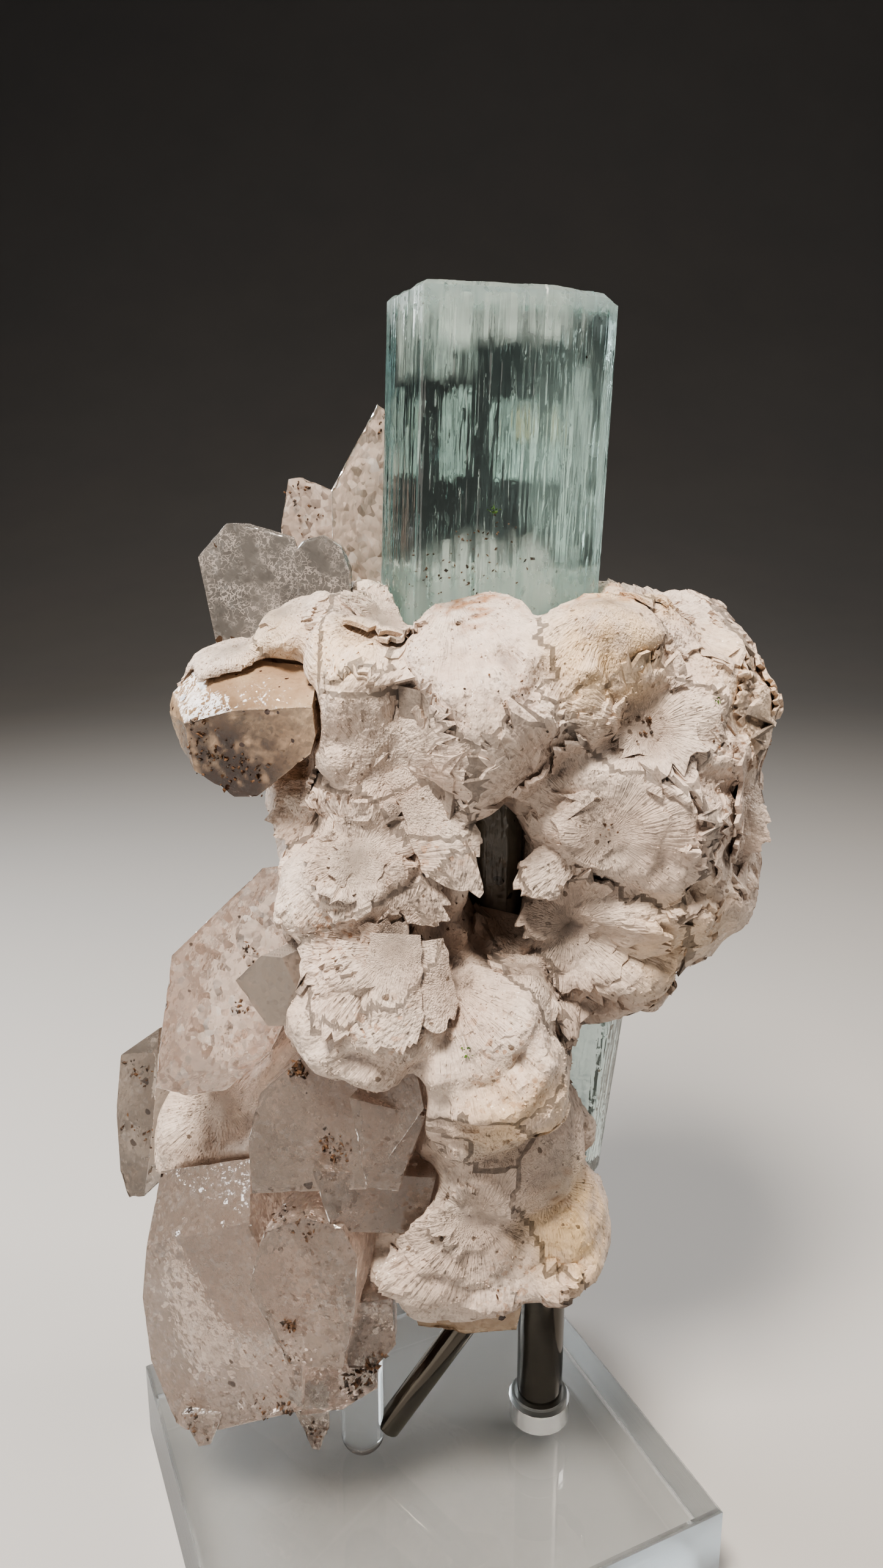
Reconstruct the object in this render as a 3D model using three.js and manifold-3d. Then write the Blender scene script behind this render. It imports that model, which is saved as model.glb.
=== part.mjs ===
// A tall aquamarine crystal, apatite crystals and mica grown on white albite, held up on a clear stand.
// Millimetres, +Z up, +X to the viewer's right, +Y away from the viewer.
// The origin is on the clear block's underside, midway between its sides and below the specimen.

import * as THREE from 'three';
import { ConvexGeometry } from 'three/addons/geometries/ConvexGeometry.js';
import { mergeVertices } from 'three/addons/utils/BufferGeometryUtils.js';
import Module from 'manifold-3d';

const wasm = await Module();
wasm.setup();

// Driving dimensions of the stand.
const BLOCK_WIDTH = 50;
const BLOCK_DEPTH = 45;
const BLOCK_FRONT = -30;
const BLOCK_HEIGHT = 10;
const BLOCK_TURN = THREE.MathUtils.degToRad(25);
const BLOCK_EDGE_BREAK = 0.4;
const POST_AT = [17.8, -1.6];
const POST_RADIUS = 2.6;
const POST_TOP = 29.5;
const CUP_RADIUS = 3.2;
const CUP_WALL = 0.35;
const CUP_DEPTH = 4.2;
const CUP_LIP = 0.6;
const PEG_AT = [-2, -9.4];
const PEG_RADIUS = 2.35;
const PEG_TOP = 25;
const PRONG_RADIUS = 1.4;
const PRONG_FOOT = [0.1, -9.8, 12.6];
const PRONG_TIP = [11.6, -7.6, 29];
const ROUND_SIDES = 20;
const PEG_ROUNDING_STEPS = 4;
const SOCKET_OVERSHOOT = 1;

// Driving dimensions of the crystals.
const AQUAMARINE_FOOT = 91;
const AQUAMARINE_TOP = 129.6;
const AQUAMARINE_LEAN = THREE.MathUtils.degToRad(2);
const AQUAMARINE_EDGE_BREAK = 0.5;
// The tall crystal's section at its top: six broad sides, and two narrow ones on its right.
const AQUAMARINE_SECTION = [
  [1, 8.4], [4.8, -1.7], [16.8, -1.1], [22.2, 2.2], [23.6, 6], [21, 15.4], [9.5, 17.6], [3.2, 15.6],
];
const LOWER_PRISM_RADIUS = 4.2;
const LOWER_PRISM_FOOT = [20.6, 4.5, 36.5];
const LOWER_PRISM_TOP = [23.2, 4.5, 60];
const INNER_PRISM_RADIUS = 3;
const INNER_PRISM_FOOT = [12.2, 2.2, 62];
const INNER_PRISM_TOP = [12, 2.2, 85];
const HEXAGON_SIDES = 6;

// The open seam kept between a crystal or rod and the albite round it.
const SEAM = 0.3;
// How far a crystal's corners are pushed out to leave that seam along its faces.
const CORNER_SEAM = 0.65;

// How the albite's skin rises and falls, as shares of a lobe's radius.
const LUMP_WAVES = [
  { along: [0.8, 0.3, 0.5], pitch: 3.1, height: 0.075 },
  { along: [-0.4, 0.9, 0.2], pitch: 5.2, height: 0.065 },
  { along: [0.3, -0.5, 0.8], pitch: 8.3, height: 0.05 },
];
const LEDGES_PER_RADIUS = 1.6;
const LEDGE_HEIGHT = 0.1;
const LEDGE_SWAY = 0.3;
const LEDGE_SWAY_PITCH = 2;
const LOBE_PHASE = 1.7;
// A lobe's usual squareness, a ball being 2, and how finely its skin is divided.
const LOBE_SQUARE = 2.2;
const LOBE_DETAIL = 3;

// Corners closer than this are one.
const WELD_DISTANCE = 1e-4;

// The white albite, as the rounded lobes that it is grown from.
const ALBITE_LOBES = [
  // The upper mass round the foot of the tall crystal, and its crown in front.
  { at: [12, 8, 86.5], radii: [18, 14.5, 14.5], square: 3 },
  { at: [10.2, -1, 91], radii: [8.4, 12.6, 10.6], square: 2.6, detail: 4 },
  { at: [17.5, -3, 91.5], radii: [6.6, 8, 8.4], detail: 2 },
  { at: [21.8, 0.4, 95.4], radii: [8, 9, 6.4] },
  { at: [-0.5, 0, 91.5], radii: [6.8, 10, 9], square: 2.6 },
  { at: [2.4, 6, 98.4], radii: [6, 8, 4.6], detail: 2 },
  { at: [14, 16, 97], radii: [12, 9, 7], detail: 2 },
  // The broad dome on the right with its fans.
  { at: [27.6, 10, 81.5], radii: [13.6, 15.5, 20.5], square: 2.4, detail: 4 },
  { at: [31, 8, 91.6], radii: [8.4, 12, 8.8], detail: 2 },
  { at: [26, 0, 87], radii: [10.4, 9, 8], square: 2.6, detail: 2 },
  { at: [24.2, -1.8, 79.4], radii: [12.2, 9.8, 8], lean: 0.25 },
  { at: [33.4, 5, 76], radii: [7, 9, 10.6], detail: 2 },
  { at: [26, 0, 71.5], radii: [10.6, 9.4, 7], detail: 2 },
  { at: [22.6, 0.6, 66], radii: [9, 10.4, 8.4] },
  { at: [28.4, 2, 61], radii: [3.2, 3.6, 4.4], detail: 1 },
  // The arm over the brown crystal on the left.
  { at: [-13.6, 2.5, 93], radii: [6.6, 5.6, 4], lean: -0.3, detail: 2 },
  { at: [-5.6, 2, 96.8], radii: [7, 6.4, 4.4], lean: -0.1, detail: 2 },
  { at: [-4, 12, 94], radii: [11, 7, 8], detail: 2 },
  // The shell plate and the hanging flake beside the hollow.
  { at: [-5.6, 2, 78.4], radii: [7, 6.4, 4.6], lean: 0.45, detail: 2 },
  { at: [0.6, -3, 82.6], radii: [6.4, 7.6, 5], detail: 2 },
  { at: [6, -7, 78.8], radii: [4.4, 4.4, 5], lean: -0.5, detail: 2 },
  // The rosettes and stepped plates of the middle.
  { at: [-1.2, -5.4, 72], radii: [9, 9.4, 7.8] },
  { at: [-0.4, -8.4, 66.6], radii: [8, 8.4, 5.6], detail: 2 },
  { at: [0.2, -9.8, 62.6], radii: [8.4, 8.4, 6.6], square: 2.5, lean: 0.2 },
  { at: [11, -9, 57.4], radii: [8.2, 11.6, 9.8], detail: 4 },
  { at: [6.6, 4, 66.5], radii: [14.6, 14, 17.5], square: 3 },
  // The lower mass and its domes.
  { at: [4, 3.5, 44], radii: [16, 14, 17], square: 2.6 },
  { at: [12.6, -6.6, 46], radii: [8.4, 9, 8], detail: 2 },
  { at: [16, -5, 35.8], radii: [8.2, 10, 8.6] },
  { at: [7.6, -5.6, 36], radii: [10.6, 9.4, 8.4], square: 2.6 },
  { at: [18.6, 0, 43], radii: [5, 5.6, 6.4], detail: 2 },
  { at: [-18.4, 4, 41], radii: [7.4, 7.6, 8.6], detail: 2 },
  { at: [-13, 2, 33], radii: [9, 9, 11], detail: 2 },
  // The back, turned away from the viewer.
  { at: [17, 18, 84], radii: [15, 10, 15] },
  { at: [7, 15, 62], radii: [15, 10, 16] },
  { at: [-5, 13, 41], radii: [15, 9, 13], detail: 2 },
];

// The dark hollow in the middle of the front, where the inner prism stands.
const HOLLOW = { at: [12.4, -6, 74.6], radii: [4.4, 10, 8.4], detail: 2 };

// Each crystal with broken or etched faces has a flat front face, given by a point on it and how far it
// falls back per millimetre of X and Z, and the outline of that face in X and Z. The solid runs from that
// face to the same outline moved back and drawn in. Extra corners stand clear of both.
const UPPER_APATITE = [
  {
    face: { at: [-2, 11.4, 108], perX: 0.25, perZ: 0.05 },
    outline: [[-0.2, 120], [0.6, 119.6], [-1.6, 115.6], [-3, 114.6], [-5, 111.5], [-5, 106.5], [-4, 97],
      [0.2, 97], [1, 112]],
    back: [1.2, 6.5, -1],
    drawnIn: 0.85,
  },
  {
    face: { at: [-8, 14.2, 108], perX: 0, perZ: 0.08 },
    outline: [[-10, 112.6], [-8.4, 112.8], [-7.2, 110.8], [-5.2, 111.4], [-4, 106], [-6, 97], [-9.6, 103.5],
      [-11, 107]],
    back: [0.6, 5, -0.6],
    drawnIn: 0.8,
  },
];
const MICA_BOOK = [
  {
    face: { at: [-12, 6, 102], perX: 0.05, perZ: 0.22 },
    outline: [[-15.4, 107.9], [-13.3, 107.8], [-8.5, 106.4], [-7, 101.7], [-8, 95.6], [-16.4, 95.6],
      [-17.7, 101.9], [-18.3, 104.6]],
    back: [-0.4, 4, 0.3],
    drawnIn: 0.96,
  },
  {
    face: { at: [-5, 4.2, 102], perX: 0, perZ: 0.12 },
    outline: [[-8.3, 105.1], [-7.3, 106.4], [-5.3, 106.8], [-3.6, 105.7], [-2.7, 103.3], [-2.7, 100.3],
      [-3.4, 97], [-7.8, 97]],
    back: [0, 4.4, 0.2],
    drawnIn: 0.92,
  },
];
const BROWN_APATITE = [
  {
    face: { at: [-12, -6.5, 88], perX: -0.3, perZ: -0.25 },
    outline: [[-18, 89.6], [-12.9, 91.2], [-5.2, 92], [-5, 89.2], [-5.6, 87.3], [-11.3, 82.4], [-13.6, 82.2],
      [-17.5, 84.7]],
    extra: [[-21, 1, 89.6], [-20.4, 1, 91.6], [-17.5, 1, 94.4], [-11.5, 0, 95], [-5.4, -2, 94.6],
      [-19.4, -1, 86.4]],
    back: [1.4, 13, 1.4],
    drawnIn: 0.86,
  },
];
const LEFT_APATITE = [
  {
    face: { at: [-16, -6.5, 61], perX: -0.18, perZ: 0.3 },
    outline: [[-20.8, 65.6], [-11.4, 74.6], [-9, 75], [-8.6, 70], [-8.1, 62.1], [-10.3, 57.2], [-14.9, 53.2],
      [-19.1, 52.3], [-22.4, 52.8], [-21.7, 58.6]],
    back: [3, 10, -2],
    drawnIn: 0.86,
  },
];
const SMALL_HEXAGON = [
  {
    face: { at: [-10, -13.2, 65], perX: 0, perZ: 0.1 },
    outline: [[-12.7, 66.8], [-10.2, 69.2], [-8.3, 69], [-6.4, 64.7], [-8, 62.4], [-9.8, 62.4]],
    back: [4, 5, 0.4],
    drawnIn: 0.95,
  },
];
const FAR_LEFT_APATITE = [
  {
    face: { at: [-28, 2.5, 43], perX: -0.3, perZ: 0 },
    outline: [[-24.1, 54.8], [-29, 50.8], [-30.1, 43.8], [-30.2, 36], [-29.4, 32.6], [-27.4, 33.3],
      [-25.6, 43.2]],
    back: [4.5, 6.5, 0.6],
    drawnIn: 0.86,
  },
];
const LOWER_APATITE = [
  // The upper block with the striated face.
  {
    face: { at: [-4, -15, 52], perX: -0.16, perZ: 0.1 },
    outline: [[-10.8, 55.5], [-5.5, 60.6], [3.9, 60.6], [4.9, 55.4], [1.8, 50.6], [-0.6, 46.8], [-11.8, 45.2],
      [-12.1, 50.8]],
    back: [1, 11, -1],
    drawnIn: 0.86,
  },
  // The large etched block at the lower left, with a bevel along its top.
  {
    face: { at: [-16, -12.5, 28], perX: -0.42, perZ: 0.02 },
    outline: [[-24.1, 35.3], [-17.5, 38.6], [-12.3, 41.6], [-11, 33.6], [-7.2, 27.5], [-7.5, 21.7],
      [-16.6, 15.7], [-20.8, 14], [-22, 14.4], [-24.5, 21.3], [-25, 28.9]],
    extra: [[-23.6, -3.5, 40.5], [-13, -8, 45]],
    back: [3, 12.5, 1],
    drawnIn: 0.86,
  },
  // The frosted block in front of it.
  {
    face: { at: [-6, -16.6, 35], perX: -0.12, perZ: 0.04 },
    outline: [[-10.7, 42], [-6.4, 43.8], [-2.9, 43], [-1.5, 40], [-1.9, 34], [-3.2, 27.5], [-8.7, 27.5],
      [-12.3, 35.7]],
    back: [2, 9, 0.4],
    drawnIn: 0.9,
  },
  // The clear grey crystal and the ledge under it.
  {
    face: { at: [-0.5, -14, 28], perX: 0.3, perZ: 0 },
    outline: [[-3, 33], [1.4, 32.6], [2, 27], [-0.4, 24.6], [-3, 25.4]],
    back: [0, 9, 2],
    drawnIn: 0.9,
  },
  {
    face: { at: [-4, -14.4, 23], perX: 0.2, perZ: 0 },
    outline: [[-7.6, 26.4], [-0.6, 25], [0, 22], [-3.6, 20], [-8, 20]],
    back: [0.4, 9, 2.4],
    drawnIn: 0.9,
  },
  // The spike and the knob that hang below.
  {
    face: { at: [-7, -13.8, 18], perX: 0, perZ: -0.1 },
    outline: [[-9.4, 22], [-5, 22], [-5, 17.6], [-6.2, 14], [-7, 14.2], [-7.6, 16.4]],
    back: [0, 4, 1.5],
    drawnIn: 0.75,
  },
  {
    face: { at: [-18.5, -12.2, 15], perX: -0.2, perZ: 0 },
    outline: [[-21, 17], [-16.2, 18], [-17.8, 13.7], [-19.2, 13.1]],
    back: [0.6, 5, 1],
    drawnIn: 0.8,
  },
  // The shards between the blocks and the albite.
  {
    face: { at: [1, -16.2, 51], perX: 0.25, perZ: 0 },
    outline: [[-2, 57], [5, 54], [2.4, 46.4], [-0.6, 47.4]],
    back: [1.5, 6, 0],
    drawnIn: 0.88,
  },
  {
    face: { at: [0, -15, 45], perX: 0.34, perZ: 0 },
    outline: [[-5.6, 49.4], [6, 46], [4.6, 40], [-4, 42.4]],
    back: [0.6, 7, 0],
    drawnIn: 0.88,
  },
];
const LOWER_LUMPS = [
  {
    face: { at: [9, -10.6, 29], perX: 0, perZ: -0.15 },
    outline: [[3, 31.4], [9, 32.6], [15, 30], [14.4, 26], [9, 25.4], [4, 26.6]],
    back: [0, 6.5, 1.2],
    drawnIn: 0.8,
  },
];

// Vertices shared and everything but their place removed, ready to become a solid.
function weld(geometry) {
  geometry.deleteAttribute('normal');
  geometry.deleteAttribute('uv');
  return mergeVertices(geometry, WELD_DISTANCE);
}

function solid(geometry) {
  const welded = weld(geometry);
  return new wasm.Manifold(new wasm.Mesh({
    numProp: 3,
    vertProperties: new Float32Array(welded.attributes.position.array),
    triVerts: new Uint32Array(welded.index.array),
  }));
}

function geometryOf(body) {
  const { vertProperties, triVerts } = body.getMesh();
  const geometry = new THREE.BufferGeometry();
  geometry.setAttribute('position', new THREE.BufferAttribute(vertProperties, 3));
  geometry.setIndex(new THREE.BufferAttribute(triVerts, 1));
  geometry.computeVertexNormals();
  return geometry;
}

function joined(bodies) {
  return bodies.reduce((whole, body) => whole.add(body));
}

// Lumps are slow waves over the lobe, and ledges are a saw edge that climbs it from below.
function skinHeight(point, phase) {
  const lumps = LUMP_WAVES.reduce((sum, { along, pitch, height }) => {
    const [x, y, z] = along;
    return sum + height * Math.sin(pitch * (x * point.x + y * point.y + z * point.z) + phase + pitch);
  }, 0);
  const sway = LEDGE_SWAY * Math.sin(LEDGE_SWAY_PITCH * point.x + phase);
  const climb = LEDGES_PER_RADIUS * (point.z + sway) + phase;
  return lumps + LEDGE_HEIGHT * (climb - Math.floor(climb) - 0.5);
}

// How far the unit shape reaches along a direction: a ball at 2, and boxier as the power rises.
function squaredReach({ x, y, z }, power) {
  const sum = Math.abs(x) ** power + Math.abs(y) ** power + Math.abs(z) ** power;
  return sum ** (-1 / power);
}

// A lumpy, ledged and squared-off ellipsoid, leaned about the viewing direction.
function albiteLobe({ at, radii, lean = 0, square = LOBE_SQUARE, detail = LOBE_DETAIL }, index) {
  const skin = weld(new THREE.IcosahedronGeometry(1, detail));
  const position = skin.attributes.position;
  const point = new THREE.Vector3();
  for (let i = 0; i < position.count; i += 1) {
    point.fromBufferAttribute(position, i);
    point.multiplyScalar(squaredReach(point, square) * (1 + skinHeight(point, index * LOBE_PHASE)));
    position.setXYZ(i, point.x, point.y, point.z);
  }
  skin.scale(...radii);
  skin.rotateY(lean);
  skin.translate(...at);
  return solid(skin);
}

function middleOf(corners) {
  const sum = corners.reduce((total, corner) => total.add(corner), new THREE.Vector3());
  return sum.divideScalar(corners.length);
}

// A flat-faced crystal between its front face and its back one, with its corners pushed out by a seam.
function crystal({ face, outline, back, drawnIn, extra = [] }, seam = 0) {
  const [x0, y0, z0] = face.at;
  const fallBack = (x, z) => y0 + face.perX * (x - x0) + face.perZ * (z - z0);
  const front = outline.map(([x, z]) => new THREE.Vector3(x, fallBack(x, z), z));
  const frontMiddle = middleOf(front);
  const backMiddle = frontMiddle.clone().add(new THREE.Vector3(...back));
  const rear = front.map((corner) => corner.clone().sub(frontMiddle).multiplyScalar(drawnIn).add(backMiddle));
  const corners = [...front, ...rear, ...extra.map((corner) => new THREE.Vector3(...corner))];
  const middle = middleOf(corners);
  corners.forEach((corner) => {
    const reach = corner.distanceTo(middle);
    corner.sub(middle).setLength(reach + seam).add(middle);
  });
  return solid(new ConvexGeometry(corners));
}

function cluster(crystals, seam = 0) {
  return joined(crystals.map((one) => crystal(one, seam)));
}

// A six-sided prism from its foot to its flat top, with a flat side to the viewer and its top edge broken.
function hexagonalPrism({ foot, top, radius, edgeBreak }, seam = 0) {
  const axis = new THREE.Vector3(...top).sub(new THREE.Vector3(...foot));
  const height = axis.length() + seam;
  const wide = radius + seam / Math.cos(Math.PI / HEXAGON_SIDES);
  const profile = [
    new THREE.Vector2(0, -seam),
    new THREE.Vector2(wide, -seam),
    new THREE.Vector2(wide, height - edgeBreak),
    new THREE.Vector2(wide - edgeBreak, height),
    new THREE.Vector2(0, height),
  ];
  const prism = new THREE.LatheGeometry(profile, HEXAGON_SIDES, Math.PI / 2);
  const turn = new THREE.Quaternion().setFromUnitVectors(new THREE.Vector3(0, 1, 0), axis.normalize());
  prism.applyQuaternion(turn);
  prism.translate(...foot);
  return solid(prism);
}

// The tall crystal's section carried down from its flat top, then leaned to its right about its top.
function tallAquamarine(seam = 0) {
  const section = new THREE.Shape(AQUAMARINE_SECTION.map(([x, y]) => new THREE.Vector2(x, y)));
  const prism = new THREE.ExtrudeGeometry(section, {
    depth: AQUAMARINE_TOP - AQUAMARINE_FOOT - 2 * AQUAMARINE_EDGE_BREAK,
    bevelSize: AQUAMARINE_EDGE_BREAK,
    bevelThickness: AQUAMARINE_EDGE_BREAK + seam,
    bevelOffset: seam - AQUAMARINE_EDGE_BREAK,
    bevelSegments: 1,
  });
  prism.translate(0, 0, AQUAMARINE_FOOT + AQUAMARINE_EDGE_BREAK - AQUAMARINE_TOP);
  prism.rotateY(AQUAMARINE_LEAN);
  prism.translate(0, 0, AQUAMARINE_TOP);
  return solid(prism);
}

function lowerAquamarine(seam = 0) {
  return hexagonalPrism({
    foot: LOWER_PRISM_FOOT,
    top: LOWER_PRISM_TOP,
    radius: LOWER_PRISM_RADIUS,
    edgeBreak: AQUAMARINE_EDGE_BREAK / 2,
  }, seam);
}

function innerAquamarine(seam = 0) {
  return hexagonalPrism({
    foot: INNER_PRISM_FOOT,
    top: INNER_PRISM_TOP,
    radius: INNER_PRISM_RADIUS,
    edgeBreak: AQUAMARINE_EDGE_BREAK / 2,
  }, seam);
}

// A turned piece standing on +Z from a radius and height profile.
function turned(profile, [x, y]) {
  const points = profile.map(([radius, height]) => new THREE.Vector2(radius, height));
  const geometry = new THREE.LatheGeometry(points, ROUND_SIDES);
  geometry.rotateX(Math.PI / 2);
  geometry.translate(x, y, 0);
  return solid(geometry);
}

const CUP_FLOOR = BLOCK_HEIGHT - CUP_DEPTH;
const POST_FOOT = CUP_FLOOR + CUP_WALL + SEAM;

function supportPost(seam = 0) {
  const radius = POST_RADIUS + seam;
  const top = POST_TOP + seam;
  return turned([[0, POST_FOOT], [radius, POST_FOOT], [radius, top], [0, top]], POST_AT);
}

function postCup() {
  const inside = CUP_RADIUS - CUP_WALL;
  const lip = BLOCK_HEIGHT + CUP_LIP;
  return turned([
    [0, CUP_FLOOR],
    [CUP_RADIUS, CUP_FLOOR],
    [CUP_RADIUS, lip],
    [inside, lip],
    [inside, CUP_FLOOR + CUP_WALL],
    [0, CUP_FLOOR + CUP_WALL],
  ], POST_AT);
}

// A clear peg with a round foot.
function clearPeg(seam = 0) {
  const radius = PEG_RADIUS + seam;
  const foot = BLOCK_HEIGHT + SEAM - seam;
  const rounding = Array.from({ length: PEG_ROUNDING_STEPS + 1 }, (_, step) => {
    const angle = (step / PEG_ROUNDING_STEPS) * (Math.PI / 2);
    return [radius * Math.sin(angle), foot + radius * (1 - Math.cos(angle))];
  });
  return turned([...rounding, [radius, PEG_TOP + seam], [0, PEG_TOP + seam]], PEG_AT);
}

// A straight rod between two points.
function rod(start, end, radius) {
  const from = new THREE.Vector3(...start);
  const to = new THREE.Vector3(...end);
  const geometry = new THREE.CylinderGeometry(radius, radius, from.distanceTo(to), ROUND_SIDES);
  const along = to.clone().sub(from).normalize();
  geometry.applyQuaternion(new THREE.Quaternion().setFromUnitVectors(new THREE.Vector3(0, 1, 0), along));
  geometry.translate(...from.add(to).multiplyScalar(0.5).toArray());
  return solid(geometry);
}

function slantedProng(seam = 0) {
  return rod(PRONG_FOOT, PRONG_TIP, PRONG_RADIUS + seam);
}

// The clear block with broken edges, turned on its underside, with a socket for the post's cup.
function clearBlock() {
  const halfWidth = BLOCK_WIDTH / 2 - BLOCK_EDGE_BREAK;
  const front = BLOCK_FRONT + BLOCK_EDGE_BREAK;
  const rear = BLOCK_FRONT + BLOCK_DEPTH - BLOCK_EDGE_BREAK;
  const outline = new THREE.Shape([
    new THREE.Vector2(-halfWidth, front),
    new THREE.Vector2(halfWidth, front),
    new THREE.Vector2(halfWidth, rear),
    new THREE.Vector2(-halfWidth, rear),
  ]);
  const block = new THREE.ExtrudeGeometry(outline, {
    depth: BLOCK_HEIGHT - 2 * BLOCK_EDGE_BREAK,
    bevelSize: BLOCK_EDGE_BREAK,
    bevelThickness: BLOCK_EDGE_BREAK,
    bevelSegments: 1,
  });
  block.translate(0, 0, BLOCK_EDGE_BREAK);
  block.rotateZ(BLOCK_TURN);
  const socketRadius = CUP_RADIUS + SEAM;
  const socketFloor = CUP_FLOOR - SEAM;
  const above = BLOCK_HEIGHT + SOCKET_OVERSHOOT;
  const profile = [[0, socketFloor], [socketRadius, socketFloor], [socketRadius, above], [0, above]];
  return solid(block).subtract(turned(profile, POST_AT));
}

// The albite is all its lobes in one, hollowed, and open round everything that grows out of it or holds it.
function albiteMatrix() {
  const mass = joined(ALBITE_LOBES.map(albiteLobe));
  const grownThrough = [
    albiteLobe(HOLLOW, ALBITE_LOBES.length),
    tallAquamarine(SEAM),
    lowerAquamarine(SEAM),
    innerAquamarine(SEAM),
    cluster(UPPER_APATITE, CORNER_SEAM),
    cluster(MICA_BOOK, CORNER_SEAM),
    cluster(BROWN_APATITE, CORNER_SEAM),
    cluster(LEFT_APATITE, CORNER_SEAM),
    cluster(SMALL_HEXAGON, CORNER_SEAM),
    cluster(FAR_LEFT_APATITE, CORNER_SEAM),
    cluster(LOWER_APATITE, CORNER_SEAM),
    cluster(LOWER_LUMPS, CORNER_SEAM),
    supportPost(SEAM),
    clearPeg(SEAM),
    slantedProng(SEAM),
  ];
  return grownThrough.reduce((rest, body) => rest.subtract(body), mass);
}

function lowerApatite() {
  const held = cluster(LOWER_APATITE).subtract(cluster(LOWER_LUMPS, CORNER_SEAM));
  return held.subtract(clearPeg(SEAM)).subtract(slantedProng(SEAM));
}

function lowerLumps() {
  return cluster(LOWER_LUMPS).subtract(slantedProng(SEAM));
}

function finish(color, roughness, metalness = 0) {
  return new THREE.MeshStandardMaterial({ color, roughness, metalness });
}

const PIECES = [
  ['albite_matrix', albiteMatrix(), finish('#e9ddd2', 0.75)],
  ['aquamarine_tall', tallAquamarine(), finish('#bfe0dd', 0.1)],
  ['aquamarine_lower', lowerAquamarine(), finish('#9db8bb', 0.15)],
  ['aquamarine_inner', innerAquamarine(), finish('#5e5c50', 0.2)],
  ['apatite_upper', cluster(UPPER_APATITE), finish('#dcc8bf', 0.3)],
  ['mica_book', cluster(MICA_BOOK), finish('#8f8882', 0.35)],
  ['apatite_brown', cluster(BROWN_APATITE), finish('#a58a74', 0.4)],
  ['apatite_left', cluster(LEFT_APATITE), finish('#d9cbc2', 0.3)],
  ['small_hexagon', cluster(SMALL_HEXAGON), finish('#8f7d6b', 0.35)],
  ['apatite_far_left', cluster(FAR_LEFT_APATITE), finish('#b9b0a8', 0.3)],
  ['apatite_lower', lowerApatite(), finish('#cdbfb6', 0.35)],
  ['apatite_lumps', lowerLumps(), finish('#a98f85', 0.4)],
  ['acrylic_block', clearBlock(), finish('#eef3f5', 0.03)],
  ['support_post', supportPost(), finish('#9b9893', 0.12, 1)],
  ['post_cup', postCup(), finish('#e8e6e4', 0.4)],
  ['clear_peg', clearPeg(), finish('#e6ebec', 0.05)],
  ['slanted_prong', slantedProng().subtract(clearPeg(SEAM)), finish('#b7aa93', 0.12, 1)],
];

const specimen = new THREE.Group();
PIECES.forEach(([name, body, material]) => {
  const mesh = new THREE.Mesh(geometryOf(body), material);
  mesh.name = name;
  specimen.add(mesh);
});

export default specimen;
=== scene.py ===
"""A tall aquamarine, apatite crystals and mica plates on white albite, held up on a clear stand.

Lengths are millimetres in the part's frame, and MM turns them into metres where a mesh, a light or
the camera is made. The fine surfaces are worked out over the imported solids, and each one stands for
its solid.
"""

import itertools
import logging
import math
from dataclasses import dataclass, field, replace
from enum import Enum

import bpy
import numpy as np
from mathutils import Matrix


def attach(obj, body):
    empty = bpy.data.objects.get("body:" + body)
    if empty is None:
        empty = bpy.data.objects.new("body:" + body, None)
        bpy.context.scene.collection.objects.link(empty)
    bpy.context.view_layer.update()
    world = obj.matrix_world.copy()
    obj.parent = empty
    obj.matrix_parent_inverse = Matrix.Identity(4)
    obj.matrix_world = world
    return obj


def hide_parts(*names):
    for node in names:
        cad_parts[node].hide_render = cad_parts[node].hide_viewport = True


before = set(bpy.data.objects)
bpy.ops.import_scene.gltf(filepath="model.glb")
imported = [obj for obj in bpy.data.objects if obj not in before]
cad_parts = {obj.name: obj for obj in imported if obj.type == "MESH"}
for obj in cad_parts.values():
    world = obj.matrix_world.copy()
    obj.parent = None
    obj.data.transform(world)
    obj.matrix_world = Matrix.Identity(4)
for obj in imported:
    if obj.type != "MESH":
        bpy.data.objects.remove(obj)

log = logging.getLogger("specimen")

Array = np.ndarray
Point = tuple[float, float, float]
Colour = tuple[float, float, float]
Pair = tuple[float, float]
Piece = bpy.types.Object
Material = bpy.types.Material
Materials = dict[str, Material]
Node = bpy.types.Node
Socket = bpy.types.NodeSocket
Sockets = bpy.types.bpy_prop_collection
Tree = bpy.types.NodeTree

MM = 0.001
BODY = "root"
WELD_DIGITS = 3
SHARP_ANGLE = math.radians(34)
RIDGE_ANGLE = math.radians(14)
ROUND_STEPS = 7
HAIR = 0.01


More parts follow.
